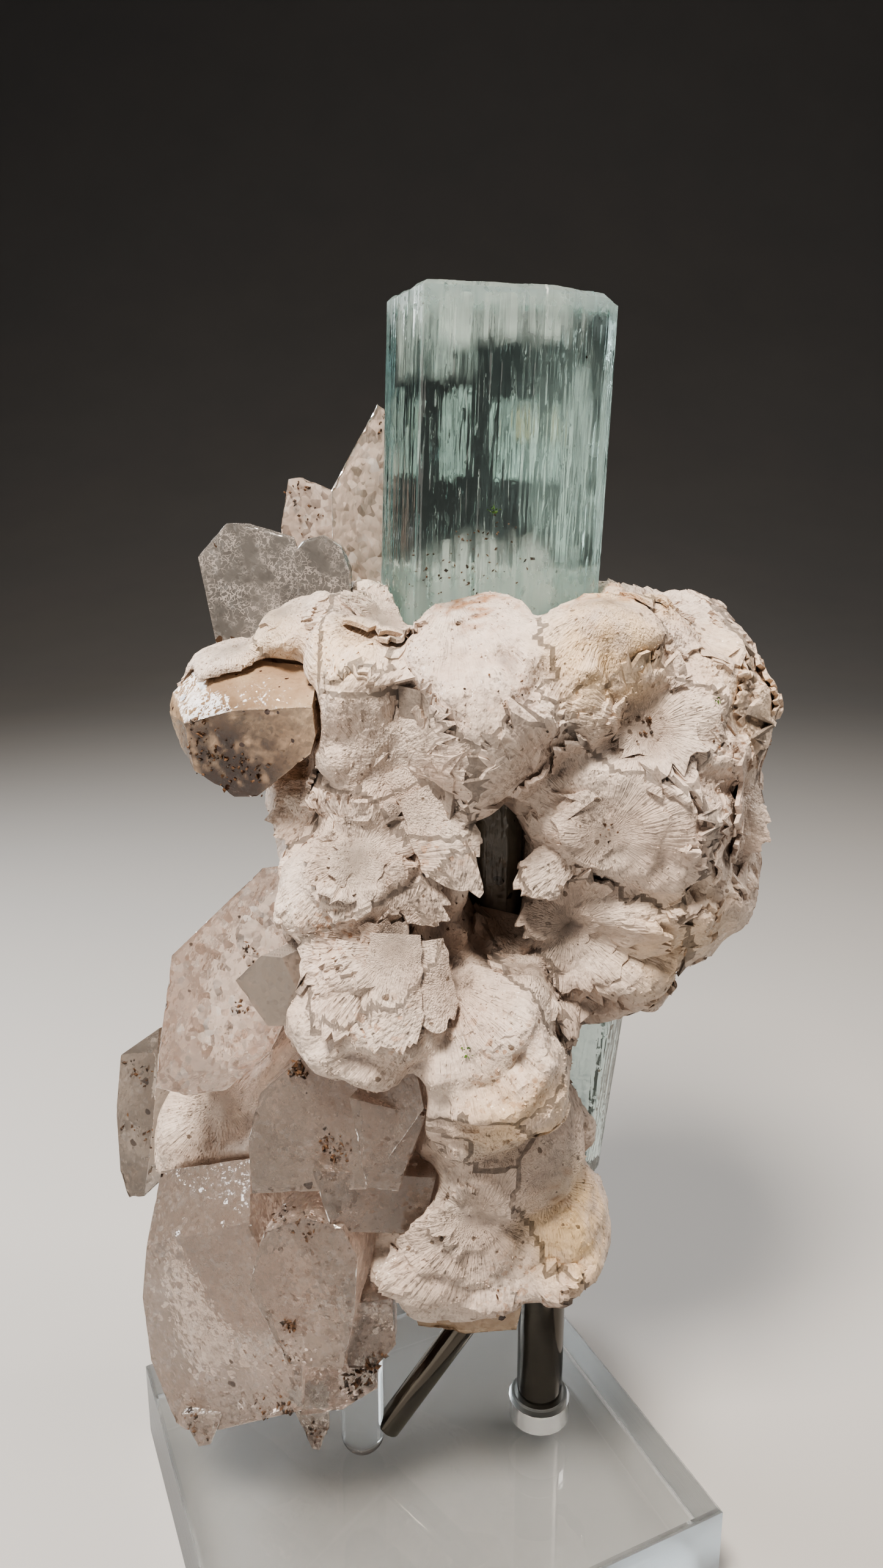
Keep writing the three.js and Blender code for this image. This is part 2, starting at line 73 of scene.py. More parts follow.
class Noise:
    """Smooth seeded noise in space, as a lattice of random slopes blended from cell to cell."""

    TABLE = 256
    GAIN = 1.5

    def __init__(self, seed: int) -> None:
        """Draw the lattice.

        Args:
            seed: The number that the same noise always comes from.
        """
        draw = np.random.default_rng(seed)
        self._order = draw.permutation(self.TABLE)
        slopes = draw.normal(size=(self.TABLE, 3))
        self._slopes = slopes / np.linalg.norm(slopes, axis=1, keepdims=True)

    def __call__(self, points: Array, pitch: float) -> Array:
        """Read the noise, whose lumps are about a pitch apart.

        Args:
            points: Places as rows of three coordinates.
            pitch: Distance between lumps, in the points' own unit.

        Returns:
            One value for each point, from about -1 to 1.
        """
        scaled = points / pitch
        cell = np.floor(scaled).astype(np.int64)
        part = scaled - cell
        fade = part**3 * (part * (part * 6 - 15) + 10)
        total = np.zeros(len(points))
        for corner in itertools.product((0, 1), repeat=3):
            index = (cell + corner) % self.TABLE
            slot = self._order[index[:, 0]]
            slot = self._order[(slot + index[:, 1]) % self.TABLE]
            slot = self._order[(slot + index[:, 2]) % self.TABLE]
            weight = np.where(np.array(corner, bool), fade, 1 - fade).prod(axis=1)
            total += weight * ((part - corner) * self._slopes[slot]).sum(axis=1)
        return self.GAIN * total

    def layered(self, points: Array, pitch: float, layers: int = 3) -> Array:
        """Sum the noise at a pitch, its half, its quarter and so on, each half as strong as the last."""
        return sum(self(points, pitch / 2**layer) / 2**layer for layer in range(layers))


def unit(rows: Array) -> Array:
    """Rows of vectors scaled to length one."""
    return rows / np.maximum(np.linalg.norm(rows, axis=-1, keepdims=True), 1e-12)


def eased(share: Array) -> Array:
    """Shares held between 0 and 1 and eased at both ends, as 3s^2 - 2s^3."""
    held = np.clip(share, 0, 1)
    return held * held * (3 - 2 * held)


def stepped(values: Array, levels: float = 3) -> Array:
    """Values cut down to level steps, so many to a height of one."""
    return np.floor(levels * values) / levels


def laid_on(vectors: Array, normals: Array) -> Array:
    """Directions laid flat on the surface that their normals stand on."""
    return unit(vectors - (vectors * normals).sum(axis=1, keepdims=True) * normals)


@dataclass
class Skin:
    """A surface as arrays: points in millimetres, triangles as rows of point numbers, and named tones."""

    points: Array
    faces: Array
    tones: dict[str, Array] = field(default_factory=dict)

    @classmethod
    def of_node(cls, node: str) -> "Skin":
        """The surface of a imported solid, with its loose triangles welded."""
        return cls.of_mesh(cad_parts[node].data).welded()

    @classmethod
    def of_mesh(cls, mesh: bpy.types.Mesh) -> "Skin":
        """Read a Blender mesh as triangles.

        Args:
            mesh: The mesh, in metres.

        Returns:
            Its surface, in millimetres.
        """
        mesh.calc_loop_triangles()
        points = np.empty(len(mesh.vertices) * 3, np.float32)
        faces = np.empty(len(mesh.loop_triangles) * 3, np.int32)
        mesh.vertices.foreach_get("co", points)
        mesh.loop_triangles.foreach_get("vertices", faces)
        return cls(points.reshape(-1, 3).astype(float) / MM, faces.reshape(-1, 3).astype(np.int64))

    def welded(self) -> "Skin":
        """Make points that round to the same place one, and drop triangles without area.

        Returns:
            The welded surface, without tones.
        """
        places, number = np.unique(np.round(self.points, WELD_DIGITS), axis=0, return_inverse=True)
        faces = number.reshape(-1)[self.faces]
        whole = (faces != np.roll(faces, 1, axis=1)).all(axis=1)
        return Skin(places, faces[whole])

    def edges(self) -> tuple[Array, Array]:
        """Number the edges.

        Returns:
            Each edge's two point numbers, and each triangle's three edge numbers.
        """
        pairs = np.sort(self.faces[:, [[0, 1], [1, 2], [2, 0]]].reshape(-1, 2), axis=1)
        single, number = np.unique(pairs, axis=0, return_inverse=True)
        return single, number.reshape(-1, 3)

    def face_normals(self) -> Array:
        """Each triangle's outward normal, as long as twice its area."""
        first, second, third = (self.points[self.faces[:, corner]] for corner in range(3))
        return np.cross(second - first, third - first)

    def normals(self) -> Array:
        """Average the triangles' normals at each point, by area.

        Returns:
            Each point's outward normal.
        """
        spread = np.repeat(self.face_normals(), 3, axis=0)
        numbers = self.faces.reshape(-1)
        sums = [np.bincount(numbers, spread[:, axis], len(self.points)) for axis in range(3)]
        return unit(np.stack(sums, axis=1))

    def smoothed(self, rounds: int) -> "Skin":
        """Move each point halfway to the average of its neighbours, several times over.

        Args:
            rounds: How many times.

        Returns:
            The smoother surface.
        """
        (first, second), count = self.edges()[0].T, len(self.points)
        degree = np.maximum(np.bincount(first, None, count) + np.bincount(second, None, count), 1)
        points = self.points
        for _ in range(rounds):
            around = [
                np.bincount(first, axis[second], count) + np.bincount(second, axis[first], count)
                for axis in points.T
            ]
            points = (points + np.stack(around, axis=1) / degree[:, None]) / 2
        return Skin(points, self.faces)

    def refined(self, longest: float, passes: int = 9) -> "Skin":
        """Halve every edge over a length and cut its triangles again, until none is left.

        Args:
            longest: The longest edge that may stay.
            passes: The most times that edges are halved.

        Returns:
            The finer surface, of the same shape.
        """
        skin = self
        for _ in range(passes):
            edges, number = skin.edges()
            ends = skin.points[edges]
            is_long = np.linalg.norm(ends[:, 0] - ends[:, 1], axis=1) > longest
            if not is_long.any():
                break
            middle = np.full(len(edges), -1)
            middle[is_long] = len(skin.points) + np.arange(is_long.sum())
            points = np.vstack([skin.points, ends[is_long].mean(axis=1)])
            skin = Skin(points, _cut_again(skin.faces, middle[number]))
        return skin

    def evened(self, voxel: float) -> "Skin":
        """Cover the closed surface with an even skin of small faces.

        Args:
            voxel: The width of a face.

        Returns:
            The even surface.
        """
        holder = self.piece("even_skin")
        remesh = holder.modifiers.new("even_skin", "REMESH")
        remesh.mode = "VOXEL"
        remesh.voxel_size = voxel * MM
        graph = bpy.context.evaluated_depsgraph_get()
        mesh = bpy.data.meshes.new_from_object(holder.evaluated_get(graph))
        skin = Skin.of_mesh(mesh)
        bpy.data.meshes.remove(mesh)
        bpy.data.meshes.remove(holder.data)
        return skin

    def nearest_to(self, points: Array) -> Array:
        """The place on this surface that is nearest to each of some points.

        Args:
            points: Places as rows of three coordinates.

        Returns:
            One place for each point.
        """
        target = self.piece("distance_target")
        probe = Skin(points, np.empty((0, 3), np.int64)).piece("distance_probe")
        wrap = probe.modifiers.new("nearest", "SHRINKWRAP")
        wrap.target = target
        wrap.wrap_method = "NEAREST_SURFACEPOINT"
        graph = bpy.context.evaluated_depsgraph_get()
        near = np.empty(len(points) * 3, np.float32)
        probe.evaluated_get(graph).data.vertices.foreach_get("co", near)
        bpy.data.meshes.remove(probe.data)
        bpy.data.meshes.remove(target.data)
        return near.reshape(-1, 3).astype(float) / MM

    def distance_from(self, points: Array) -> Array:
        """How far each of some points is from this surface, by its nearest place."""
        return np.linalg.norm(self.nearest_to(points) - points, axis=1)

    def sharp_edges(self, inner: bool = False, angle: float = RIDGE_ANGLE) -> tuple[Array, Array]:
        """The edges where two triangles meet at more than an angle.

        Args:
            inner: Whether they are the creases instead of the ridges.
            angle: The least turn from one triangle to the next.

        Returns:
            The start and the end of each such edge.
        """
        edges, number = self.edges()
        order = np.argsort(number.reshape(-1), kind="stable")
        face_of = np.repeat(np.arange(len(self.faces)), 3)[order].reshape(-1, 2)
        normal = unit(self.face_normals())
        one, other = normal[face_of[:, 0]], normal[face_of[:, 1]]
        middle = self.points[self.faces].mean(axis=1)
        rising = (one * (middle[face_of[:, 1]] - middle[face_of[:, 0]])).sum(axis=1) > 0
        kept = edges[(rising == inner) & ((one * other).sum(axis=1) < math.cos(angle))]
        return self.points[kept[:, 0]], self.points[kept[:, 1]]

    def creases(self, angle: float) -> "Skin":
        """Find the creases sharper than an angle.

        Args:
            angle: The least turn from one triangle to the next.

        Returns:
            The creases as hair-thin triangles, which distances can be taken from.
        """
        start, end = self.sharp_edges(inner=True, angle=angle)
        points = np.vstack([start, end, end + HAIR])
        return Skin(points, np.arange(len(points)).reshape(3, -1).T)

    def moved(self, shift: Array) -> "Skin":
        """The surface with every point shifted by its row."""
        return Skin(self.points + shift, self.faces, self.tones)

    def piece(self, name: str, smooth: bool = True) -> Piece:
        """Make the surface a mesh object, with its tones as point attributes.

        Args:
            name: The object's name.
            smooth: Whether it is shaded smooth between its sharp edges.

        Returns:
            The object, at the origin and linked to the scene.
        """
        mesh = bpy.data.meshes.new(name)
        mesh.vertices.add(len(self.points))
        mesh.vertices.foreach_set("co", (self.points * MM).astype(np.float32).ravel())
        if len(self.faces):
            mesh.loops.add(self.faces.size)
            mesh.loops.foreach_set("vertex_index", self.faces.astype(np.int32).ravel())
            mesh.polygons.add(len(self.faces))
            mesh.polygons.foreach_set("loop_start", np.arange(0, self.faces.size, 3, dtype=np.int32))
        mesh.update(calc_edges=True)
        if smooth:
            mesh.shade_smooth()
            mesh.set_sharp_from_angle(angle=SHARP_ANGLE)
        else:
            mesh.shade_flat()
        for label, values in self.tones.items():
            kind, key = ("FLOAT", "value") if values.ndim == 1 else ("FLOAT_VECTOR", "vector")
            tone = mesh.attributes.new(label, kind, "POINT")
            tone.data.foreach_set(key, values.astype(np.float32).ravel())
        holder = bpy.data.objects.new(name, mesh)
        bpy.context.scene.collection.objects.link(holder)
        return holder


def _cut_again(faces: Array, middle: Array) -> Array:
    """Cut triangles at the middles of their long edges.

    Args:
        faces: Triangles as rows of point numbers.
        middle: For each triangle's three edges, the number of the point in its middle, or -1.

    Returns:
        The triangles after the cuts: each gives as many more as it has cut edges.
    """
    is_cut = middle >= 0
    count = is_cut.sum(axis=1)
    start = np.where(count == 2, np.argmin(is_cut, axis=1) + 1, np.argmax(is_cut, axis=1))
    turn = (start[:, None] + np.arange(3)) % 3
    a, b, c = np.take_along_axis(faces, turn, axis=1).T
    ab, bc, ca = np.take_along_axis(middle, turn, axis=1).T
    patterns = {
        0: ((a, b, c),),
        1: ((a, ab, c), (ab, b, c)),
        2: ((ab, b, bc), (a, ab, bc), (a, bc, c)),
        3: ((a, ab, ca), (ab, b, bc), (ca, bc, c), (ab, bc, ca)),
    }
    cut = [
        np.stack(corners, axis=1)[count == cuts]
        for cuts, triangles in patterns.items()
        for corners in triangles
    ]
    return np.vstack(cut)


def joined(skins: list[Skin]) -> Skin:
    """Join several surfaces into one list of points and triangles.

    Args:
        skins: The surfaces.

    Returns:
        One surface, without tones.
    """
    starts = np.cumsum([0] + [len(skin.points) for skin in skins[:-1]])
    points = np.vstack([skin.points for skin in skins])
    return Skin(points, np.vstack([skin.faces + start for skin, start in zip(skins, starts)]))


def grid_faces(rows: int, columns: int, ring: bool = False) -> Array:
    """Triangles of a grid of points that is numbered row by row.

    Args:
        rows: Points up the grid.
        columns: Points along it.
        ring: Whether the last column joins the first.

    Returns:
        Rows of three point numbers.
    """
    row, column = np.mgrid[0 : rows - 1, 0 : columns if ring else columns - 1]
    beside = (column + 1) % columns
    a, b = row * columns + column, row * columns + beside
    c, d = (row + 1) * columns + beside, (row + 1) * columns + column
    return np.stack([a, b, c, a, c, d], axis=-1).reshape(-1, 3)


def closed_grid(rows: int, columns: int) -> Array:
    """Triangles of two like grids, one over the other, closed along their rim.

    Args:
        rows: Points up each grid.
        columns: Points along it.

    Returns:
        Rows of three point numbers.
    """
    upper = grid_faces(rows, columns)
    size = rows * columns
    numbers = np.arange(size).reshape(rows, columns)
    rim = np.concatenate([numbers[0, :-1], numbers[:-1, -1], numbers[-1, :0:-1], numbers[:0:-1, 0]])
    following = np.roll(rim, -1)
    walls = np.stack([rim, rim + size, following + size, rim, following + size, following], axis=1)
    return np.vstack([upper, upper[:, ::-1] + size, walls.reshape(-1, 3)])


def repeated(points: Array, faces: Array) -> Skin:
    """Join many like small surfaces into one.

    Args:
        points: A block of points for each of them.
        faces: The triangles that each of them has.

    Returns:
        One surface.
    """
    starts = np.arange(len(points))[:, None, None] * points.shape[1]
    return Skin(points.reshape(-1, 3), (faces[None] + starts).reshape(-1, 3))


def turned_profile(profile: list[Pair], sides: int) -> Skin:
    """Carry a profile of radius and height round the Z axis.

    Args:
        profile: Radius and height, from the foot's middle to the top's middle.
        sides: Points round the axis.

    Returns:
        The closed round surface.
    """
    radius, height = np.array(profile).T
    angle = np.linspace(0, 2 * math.pi, sides, endpoint=False)
    across = [np.outer(radius, np.cos(angle)), np.outer(radius, np.sin(angle))]
    points = np.stack([*across, np.repeat(height[:, None], sides, axis=1)], axis=-1)
    return Skin(points.reshape(-1, 3), grid_faces(len(profile), sides, ring=True)).welded()


def frame_along(axis: Array) -> Array:
    """Turn +Z to an axis.

    Args:
        axis: The direction.

    Returns:
        A matrix whose columns are the turned X, Y and Z.
    """
    up = unit(np.asarray(axis, float))
    side = unit(np.cross((0.0, 1.0, 0.0), up))
    return np.stack([side, np.cross(up, side), up], axis=1)


def random_turns(draw: np.random.Generator, count: int) -> Array:
    """Draw random turns, from random unit quaternions.

    Args:
        draw: Where they come from.
        count: How many.

    Returns:
        The turns as a stack of matrices.
    """
    w, x, y, z = unit(draw.normal(size=(count, 4))).T
    rows = [
        [1 - 2 * (y * y + z * z), 2 * (x * y - z * w), 2 * (x * z + y * w)],
        [2 * (x * y + z * w), 1 - 2 * (x * x + z * z), 2 * (y * z - x * w)],
        [2 * (x * z - y * w), 2 * (y * z + x * w), 1 - 2 * (x * x + y * y)],
    ]
    return np.array(rows).transpose(2, 0, 1)


GRAIN_POINTS = np.array(
    [(1, 0.2, 0), (-1, -0.1, 0.2), (0.1, 1, -0.2), (-0.2, -1, 0.1), (0.2, -0.1, 1), (-0.1, 0.2, -1)], float
)
GRAIN_FACES = np.array(
    [(0, 2, 4), (2, 1, 4), (1, 3, 4), (3, 0, 4), (2, 0, 5), (1, 2, 5), (3, 1, 5), (0, 3, 5)]
)


def grains(draw: np.random.Generator, places: Array, sizes: Array) -> Skin:
    """Small eight-faced grains, each turned its own way.

    Args:
        draw: Where the random turns come from.
        places: Each grain's middle.
        sizes: Each grain's three half-lengths.

    Returns:
        The grains as one surface.
    """
    local = GRAIN_POINTS[None] * sizes[:, None]
    points = np.einsum("gij,gpj->gpi", random_turns(draw, len(places)), local) + places[:, None]
    return repeated(points, GRAIN_FACES)


class Sheet:
    """Short ways to place and join the nodes of one shader node tree."""

    def __init__(self, tree: Tree) -> None:
        """Work on a material's or a group's node tree."""
        self.tree = tree

    def feed(self, socket: Socket, value: object) -> None:
        """Join another node's socket to this one, or set its value.

        Args:
            socket: The input.
            value: A socket, a number, a vector, or a colour of three numbers.
        """
        if isinstance(value, Socket):
            self.tree.links.new(value, socket)
        elif isinstance(value, tuple) and socket.type == "RGBA":
            socket.default_value = (*value[:3], 1.0)
        else:
            socket.default_value = value

    def fill(self, node: Node, inputs: dict) -> None:
        """Feed several inputs of a node, by their names or numbers."""
        for key, value in inputs.items():
            self.feed(node.inputs[key], value)

    def node(self, kind: str, inputs: dict | None = None, **settings: object) -> Node:
        """Place a node.

        Args:
            kind: Its type, without the leading ShaderNode.
            inputs: Values or sockets, by the input's name or number.
            settings: Its other properties.

        Returns:
            The node.
        """
        node = self.tree.nodes.new("ShaderNode" + kind)
        for label, value in settings.items():
            setattr(node, label, value)
        self.fill(node, inputs or {})
        return node

    def math(self, operation: str, *values: object) -> Socket:
        """One arithmetic step, held between 0 and 1."""
        inputs = dict(enumerate(values))
        return self.node("Math", inputs, operation=operation, use_clamp=True).outputs[0]

    def math_free(self, operation: str, *values: object) -> Socket:
        """One arithmetic step, not held to any span."""
        return self.node("Math", dict(enumerate(values)), operation=operation).outputs[0]

    def times(self, first: object, second: object) -> Socket:
        """A product, held between 0 and 1."""
        return self.math("MULTIPLY", first, second)

    def vector(self, operation: str, first: object, second: object = (0.0, 0.0, 0.0)) -> Socket:
        """One step of vector arithmetic."""
        key = "Scale" if operation == "SCALE" else 1
        return self.node("VectorMath", {0: first, key: second}, operation=operation).outputs[0]

    def mix(self, share: object, first: object, second: object) -> Socket:
        """A colour from the first at share 0 to the second at share 1."""
        inputs = {0: share, 6: first, 7: second}
        return self.node("Mix", inputs, data_type="RGBA").outputs[2]

    def tint(self, colour: object, *tints: tuple[Socket, float, Colour]) -> Socket:
        """Take a colour towards others in turn.

        Args:
            colour: The colour to start from.
            tints: For each one, its mask, how strong it is at most, and its colour.

        Returns:
            The tinted colour.
        """
        for mask, most, tint in tints:
            colour = self.mix(self.times(mask, most), colour, tint)
        return colour

    def span(
        self, value: Socket, low: object, high: object, to_low: float = 0.0, to_high: float = 1.0
    ) -> Socket:
        """A value's span from low to high carried, and held, to another span."""
        inputs = {"Value": value, "From Min": low, "From Max": high, "To Min": to_low, "To Max": to_high}
        return self.node("MapRange", inputs).outputs["Result"]

    def bump(
        self, height: Socket, depth: float, strength: float = 1.0, normal: Socket | None = None
    ) -> Socket:
        """Bend the surface's normal by a height.

        Args:
            height: The height, from 0 to 1.
            depth: What a height of 1 stands for, in millimetres.
            strength: How much of it shows.
            normal: The normal that is already bent, if any.

        Returns:
            The bent normal.
        """
        inputs = {"Height": height, "Strength": strength, "Distance": depth * MM}
        if normal is not None:
            inputs["Normal"] = normal
        return self.node("Bump", inputs).outputs[0]

    def tone(self, label: str) -> Socket:
        """A surface's own tone, from its point attribute."""
        return self.node("Attribute", attribute_name=label).outputs["Fac"]

    def effect(self, tree: Tree, **values: object) -> dict[str, Socket]:
        """Place a shared effect with this material's own values, and give its outputs by name."""
        return {socket.name: socket for socket in self.node("Group", values, node_tree=tree).outputs}

    def absorb(self, output: Node, colour: Colour, density: float) -> None:
        """Fill a clear body with plain absorption."""
        inside = self.node("VolumeAbsorption", {"Color": colour, "Density": density})
        self.feed(output.inputs["Volume"], inside.outputs[0])


class Effects:
    """The shared surface effects, each one shader node group with named inputs and outputs."""

    def __init__(self) -> None:
        """Build every effect once."""
        self.cloud = self._cloud()
        self.sugar = self._sugar()
        self.specks = self._specks()
        self.lines = self._lines()
        self.glitter = self._glitter()
        self.web = self._web()

    @staticmethod
    def _group(
        name: str, inputs: dict[str, object], *outputs: str
    ) -> tuple[Sheet, Socket, Sockets, Sockets]:
        """Start a node group.

        Args:
            name: The group's name.
            inputs: Its inputs and their usual values.
            outputs: Its outputs' names.

        Returns:
            The sheet to build it on, the piece's Object coordinates, and what the group takes and gives.
        """
        tree = bpy.data.node_groups.new(name, "ShaderNodeTree")
        for label, value in inputs.items():
            kind = "NodeSocketVector" if isinstance(value, tuple) else "NodeSocketFloat"
            tree.interface.new_socket(label, in_out="INPUT", socket_type=kind).default_value = value
        for label in outputs:
            kind = "NodeSocketVector" if label == "Normal" else "NodeSocketFloat"
            tree.interface.new_socket(label, in_out="OUTPUT", socket_type=kind)
        sheet = Sheet(tree)
        place = sheet.node("TexCoord").outputs["Object"]
        taken = tree.nodes.new("NodeGroupInput").outputs
        given = tree.nodes.new("NodeGroupOutput").inputs
        return sheet, place, taken, given

    @staticmethod
    def _cells(sheet: Sheet, place: Socket, scale: Socket) -> tuple[Sockets, Sockets]:
        """Random cells: their outputs, and the three random numbers of each cell."""
        cells = sheet.node("TexVoronoi", {"Vector": place, "Scale": scale}).outputs
        return cells, sheet.node("SeparateColor", {0: cells["Color"]}).outputs

    @staticmethod
    def _noise(sheet: Sheet, place: Socket, scale: Socket, detail: float, **more: float) -> Sockets:
        """Layered noise: its outputs."""
        inputs = {"Vector": place, "Scale": scale, "Detail": detail, **more}
        return sheet.node("TexNoise", inputs).outputs

    def _cloud(self) -> Tree:
        """Soft patches: layered noise with its middle span stretched to a mask.

        Returns:
            The group.
        """
        inputs = {"Scale": 200.0, "Low": 0.4, "High": 0.6}
        sheet, place, taken, given = self._group("soft_cloud", inputs, "Mask")
        noise = self._noise(sheet, place, taken["Scale"], 2.0)
        sheet.feed(given["Mask"], sheet.span(noise[0], taken["Low"], taken["High"]))
        return sheet.tree

    def _sugar(self) -> Tree:
        """Sugary grains: rounded cells with finer noise on them, and a mask of a few glinting cells, which
        sets low roughness on albite and the painted highlight on crystals.

        Returns:
            The group.
        """
        inputs = {"Scale": 2600.0, "Glints": 0.12}
        sheet, place, taken, given = self._group("sugar_grain", inputs, "Height", "Glint")
        cells, numbers = self._cells(sheet, place, taken["Scale"])
        fine = self._noise(sheet, place, taken["Scale"], 1.5, Roughness=0.65)
        round_top = sheet.math("SUBTRACT", 1.0, cells["Distance"])
        sheet.feed(given["Height"], sheet.math("MULTIPLY_ADD", fine[0], 0.5, sheet.times(round_top, 0.5)))
        sheet.feed(given["Glint"], sheet.math("LESS_THAN", numbers[0], taken["Glints"]))
        return sheet.tree

    def _specks(self) -> Tree:
        """Scattered specks: the middles of a share of random cells, each of its own size.

        Returns:
            The group.
        """
        inputs = {"Scale": 900.0, "Share": 0.2, "Size": 0.4}
        sheet, place, taken, given = self._group("scattered_specks", inputs, "Mask")
        warp = self._noise(sheet, place, taken["Scale"], 2.0)
        cells, numbers = self._cells(sheet, place, taken["Scale"])
        size = sheet.times(taken["Size"], numbers[1])
        edge = sheet.times(cells["Distance"], sheet.span(warp[0], 0.3, 0.7, 0.5, 1.5))
        inside = sheet.math("LESS_THAN", edge, size)
        chosen = sheet.math("LESS_THAN", numbers[0], taken["Share"])
        sheet.feed(given["Mask"], sheet.times(inside, chosen))
        return sheet.tree

    def _lines(self) -> Tree:
        """Fine lines: noise drawn out along one direction by a stretch of its coordinates.

        Returns:
            The group.
        """
        inputs = {"Turn": (0.0, 0.0, 0.0), "Stretch": (1.0, 1.0, 0.04), "Scale": 2000.0}
        sheet, place, taken, given = self._group("fine_lines", inputs, "Height")
        turned = sheet.node("Mapping", {"Vector": place, "Rotation": taken["Turn"]}).outputs[0]
        drawn = sheet.vector("MULTIPLY", turned, taken["Stretch"])
        sheet.feed(given["Height"], self._noise(sheet, drawn, taken["Scale"], 3.0)[0])
        return sheet.tree

    def _glitter(self) -> Tree:
        """Tiny facets: a share of random cells, each with the surface's normal tilted its own way.

        Returns:
            The group.
        """
        inputs = {"Scale": 2600.0, "Share": 0.4, "Tilt": 0.3}
        sheet, place, taken, given = self._group("facet_glitter", inputs, "Normal", "Mask")
        cells, numbers = self._cells(sheet, place, taken["Scale"])
        chosen = sheet.math("LESS_THAN", numbers[2], taken["Share"])
        centred = sheet.vector("SUBTRACT", cells["Color"], (0.5, 0.5, 0.5))
        sideways = sheet.vector("SCALE", centred, sheet.times(chosen, taken["Tilt"]))
        tilted = sheet.vector("ADD", sheet.node("NewGeometry").outputs["Normal"], sideways)
        sheet.feed(given["Normal"], sheet.vector("NORMALIZE", tilted))
        sheet.feed(given["Mask"], chosen)
        return sheet.tree

    def _web(self) -> Tree:
        """A web of thin curved lines: the borders of random cells, bent by noise.

        Returns:
            The group.
        """
        bend_reach = 2.6 * MM
        sheet, place, taken, given = self._group("curved_web", {"Scale": 300.0, "Width": 0.03}, "Mask")
        noise = self._noise(sheet, place, taken["Scale"], 2.0)["Color"]
        bent = sheet.vector("ADD", place, sheet.vector("SCALE", noise, bend_reach))
        inputs = {"Vector": bent, "Scale": taken["Scale"]}
        border = sheet.node("TexVoronoi", inputs, feature="DISTANCE_TO_EDGE").outputs["Distance"]
        sheet.feed(given["Mask"], sheet.math("LESS_THAN", border, taken["Width"]))
        return sheet.tree


def new_material(name: str) -> tuple[Material, Sheet, Node, Node]:
    """Start a material.

    Args:
        name: The material's name.

    Returns:
        The material, its sheet, its Principled shader and its output node.
    """
    material = bpy.data.materials.new(name)
    material.use_nodes = True
    material.node_tree.nodes.clear()
    sheet = Sheet(material.node_tree)
    shader = sheet.node("BsdfPrincipled")
    output = sheet.node("OutputMaterial", {"Surface": shader.outputs[0]})
    return material, sheet, shader, output


@dataclass(frozen=True)
class AlbiteFinish:
    """Sugary, flaky white albite with blush, cream and rust stains, soil in its pits and painted shade in
    its recesses.
    """

    name: str = "albite"
    chalk: Colour = (0.645, 0.545, 0.475)
    blush: Colour = (0.56, 0.43, 0.355)
    # grey for the random mottle, and painted shade where the surface lies in a recess
    mottle_and_painted_shade: Colour = (0.22, 0.18, 0.17)
    cream: Colour = (0.78, 0.56, 0.31)
    rust: Colour = (0.30, 0.13, 0.04)
    soil: Colour = (0.09, 0.055, 0.03)
    ior: float = 1.53
    rib_scale: float = 22.0
    leaves_per_mm: float = 1.6
    leaf_depth: float = 0.42
    grain_depth: float = 0.2

    def material(self, effects: Effects) -> Material:
        """Build the material.

        Args:
            effects: The shared effects.

        Returns:
            The material, which reads the tones fan, climb, recess_shade, cream, rust and tan; recess_shade
            is painted shade.
        """
        material, sheet, shader, _ = new_material(self.name)
        broad = sheet.effect(effects.cloud, Scale=170.0, Low=0.38, High=0.66)["Mask"]
        mottle = sheet.effect(effects.cloud, Scale=950.0, Low=0.35, High=0.72)["Mask"]
        sugar = sheet.effect(effects.sugar, Scale=2900.0, Glints=0.1)
        freckles = sheet.effect(effects.specks, Scale=1500.0, Share=0.55, Size=0.62)["Mask"]
        dots = sheet.effect(effects.specks, Scale=1250.0, Share=0.06, Size=0.36)["Mask"]
        glitter = sheet.effect(effects.glitter, Scale=2300.0, Share=0.6, Tilt=0.7)
        fan = sheet.node("Attribute", attribute_name="fan").outputs["Vector"]
        ribs = sheet.node("TexNoise", {"Vector": fan, "Scale": self.rib_scale, "Detail": 3.0}).outputs[0]
        climb = sheet.math_free("MULTIPLY", sheet.tone("climb"), self.leaves_per_mm)
        leaves = sheet.math("FRACT", sheet.math_free("MULTIPLY_ADD", ribs, 0.8, climb))
        layered = sheet.math("MULTIPLY_ADD", leaves, 0.45, sheet.times(ribs, 0.55))
        fanned = sheet.bump(layered, self.leaf_depth, 0.9, glitter["Normal"])
        colour = sheet.tint(
            self.chalk,
            (broad, 0.6, self.blush),
            (mottle, 0.26, self.mottle_and_painted_shade),
            # painted shade: darker towards the shade grey the deeper the surface lies in a recess
            (sheet.tone("recess_shade"), 0.8, self.mottle_and_painted_shade),
            (sheet.tone("cream"), 0.85, self.cream),
            (sheet.tone("rust"), 0.9, self.rust),
            (sheet.times(sheet.tone("tan"), freckles), 0.75, self.rust),
            (dots, 0.75, self.soil),
        )
        sheet.fill(shader, {
            "Base Color": colour,
            "Roughness": sheet.span(sugar["Glint"], 0.0, 1.0, 0.58, 0.2),
            "Normal": sheet.bump(sugar["Height"], self.grain_depth, 0.4, fanned),
            "IOR": self.ior,
        })
        return material


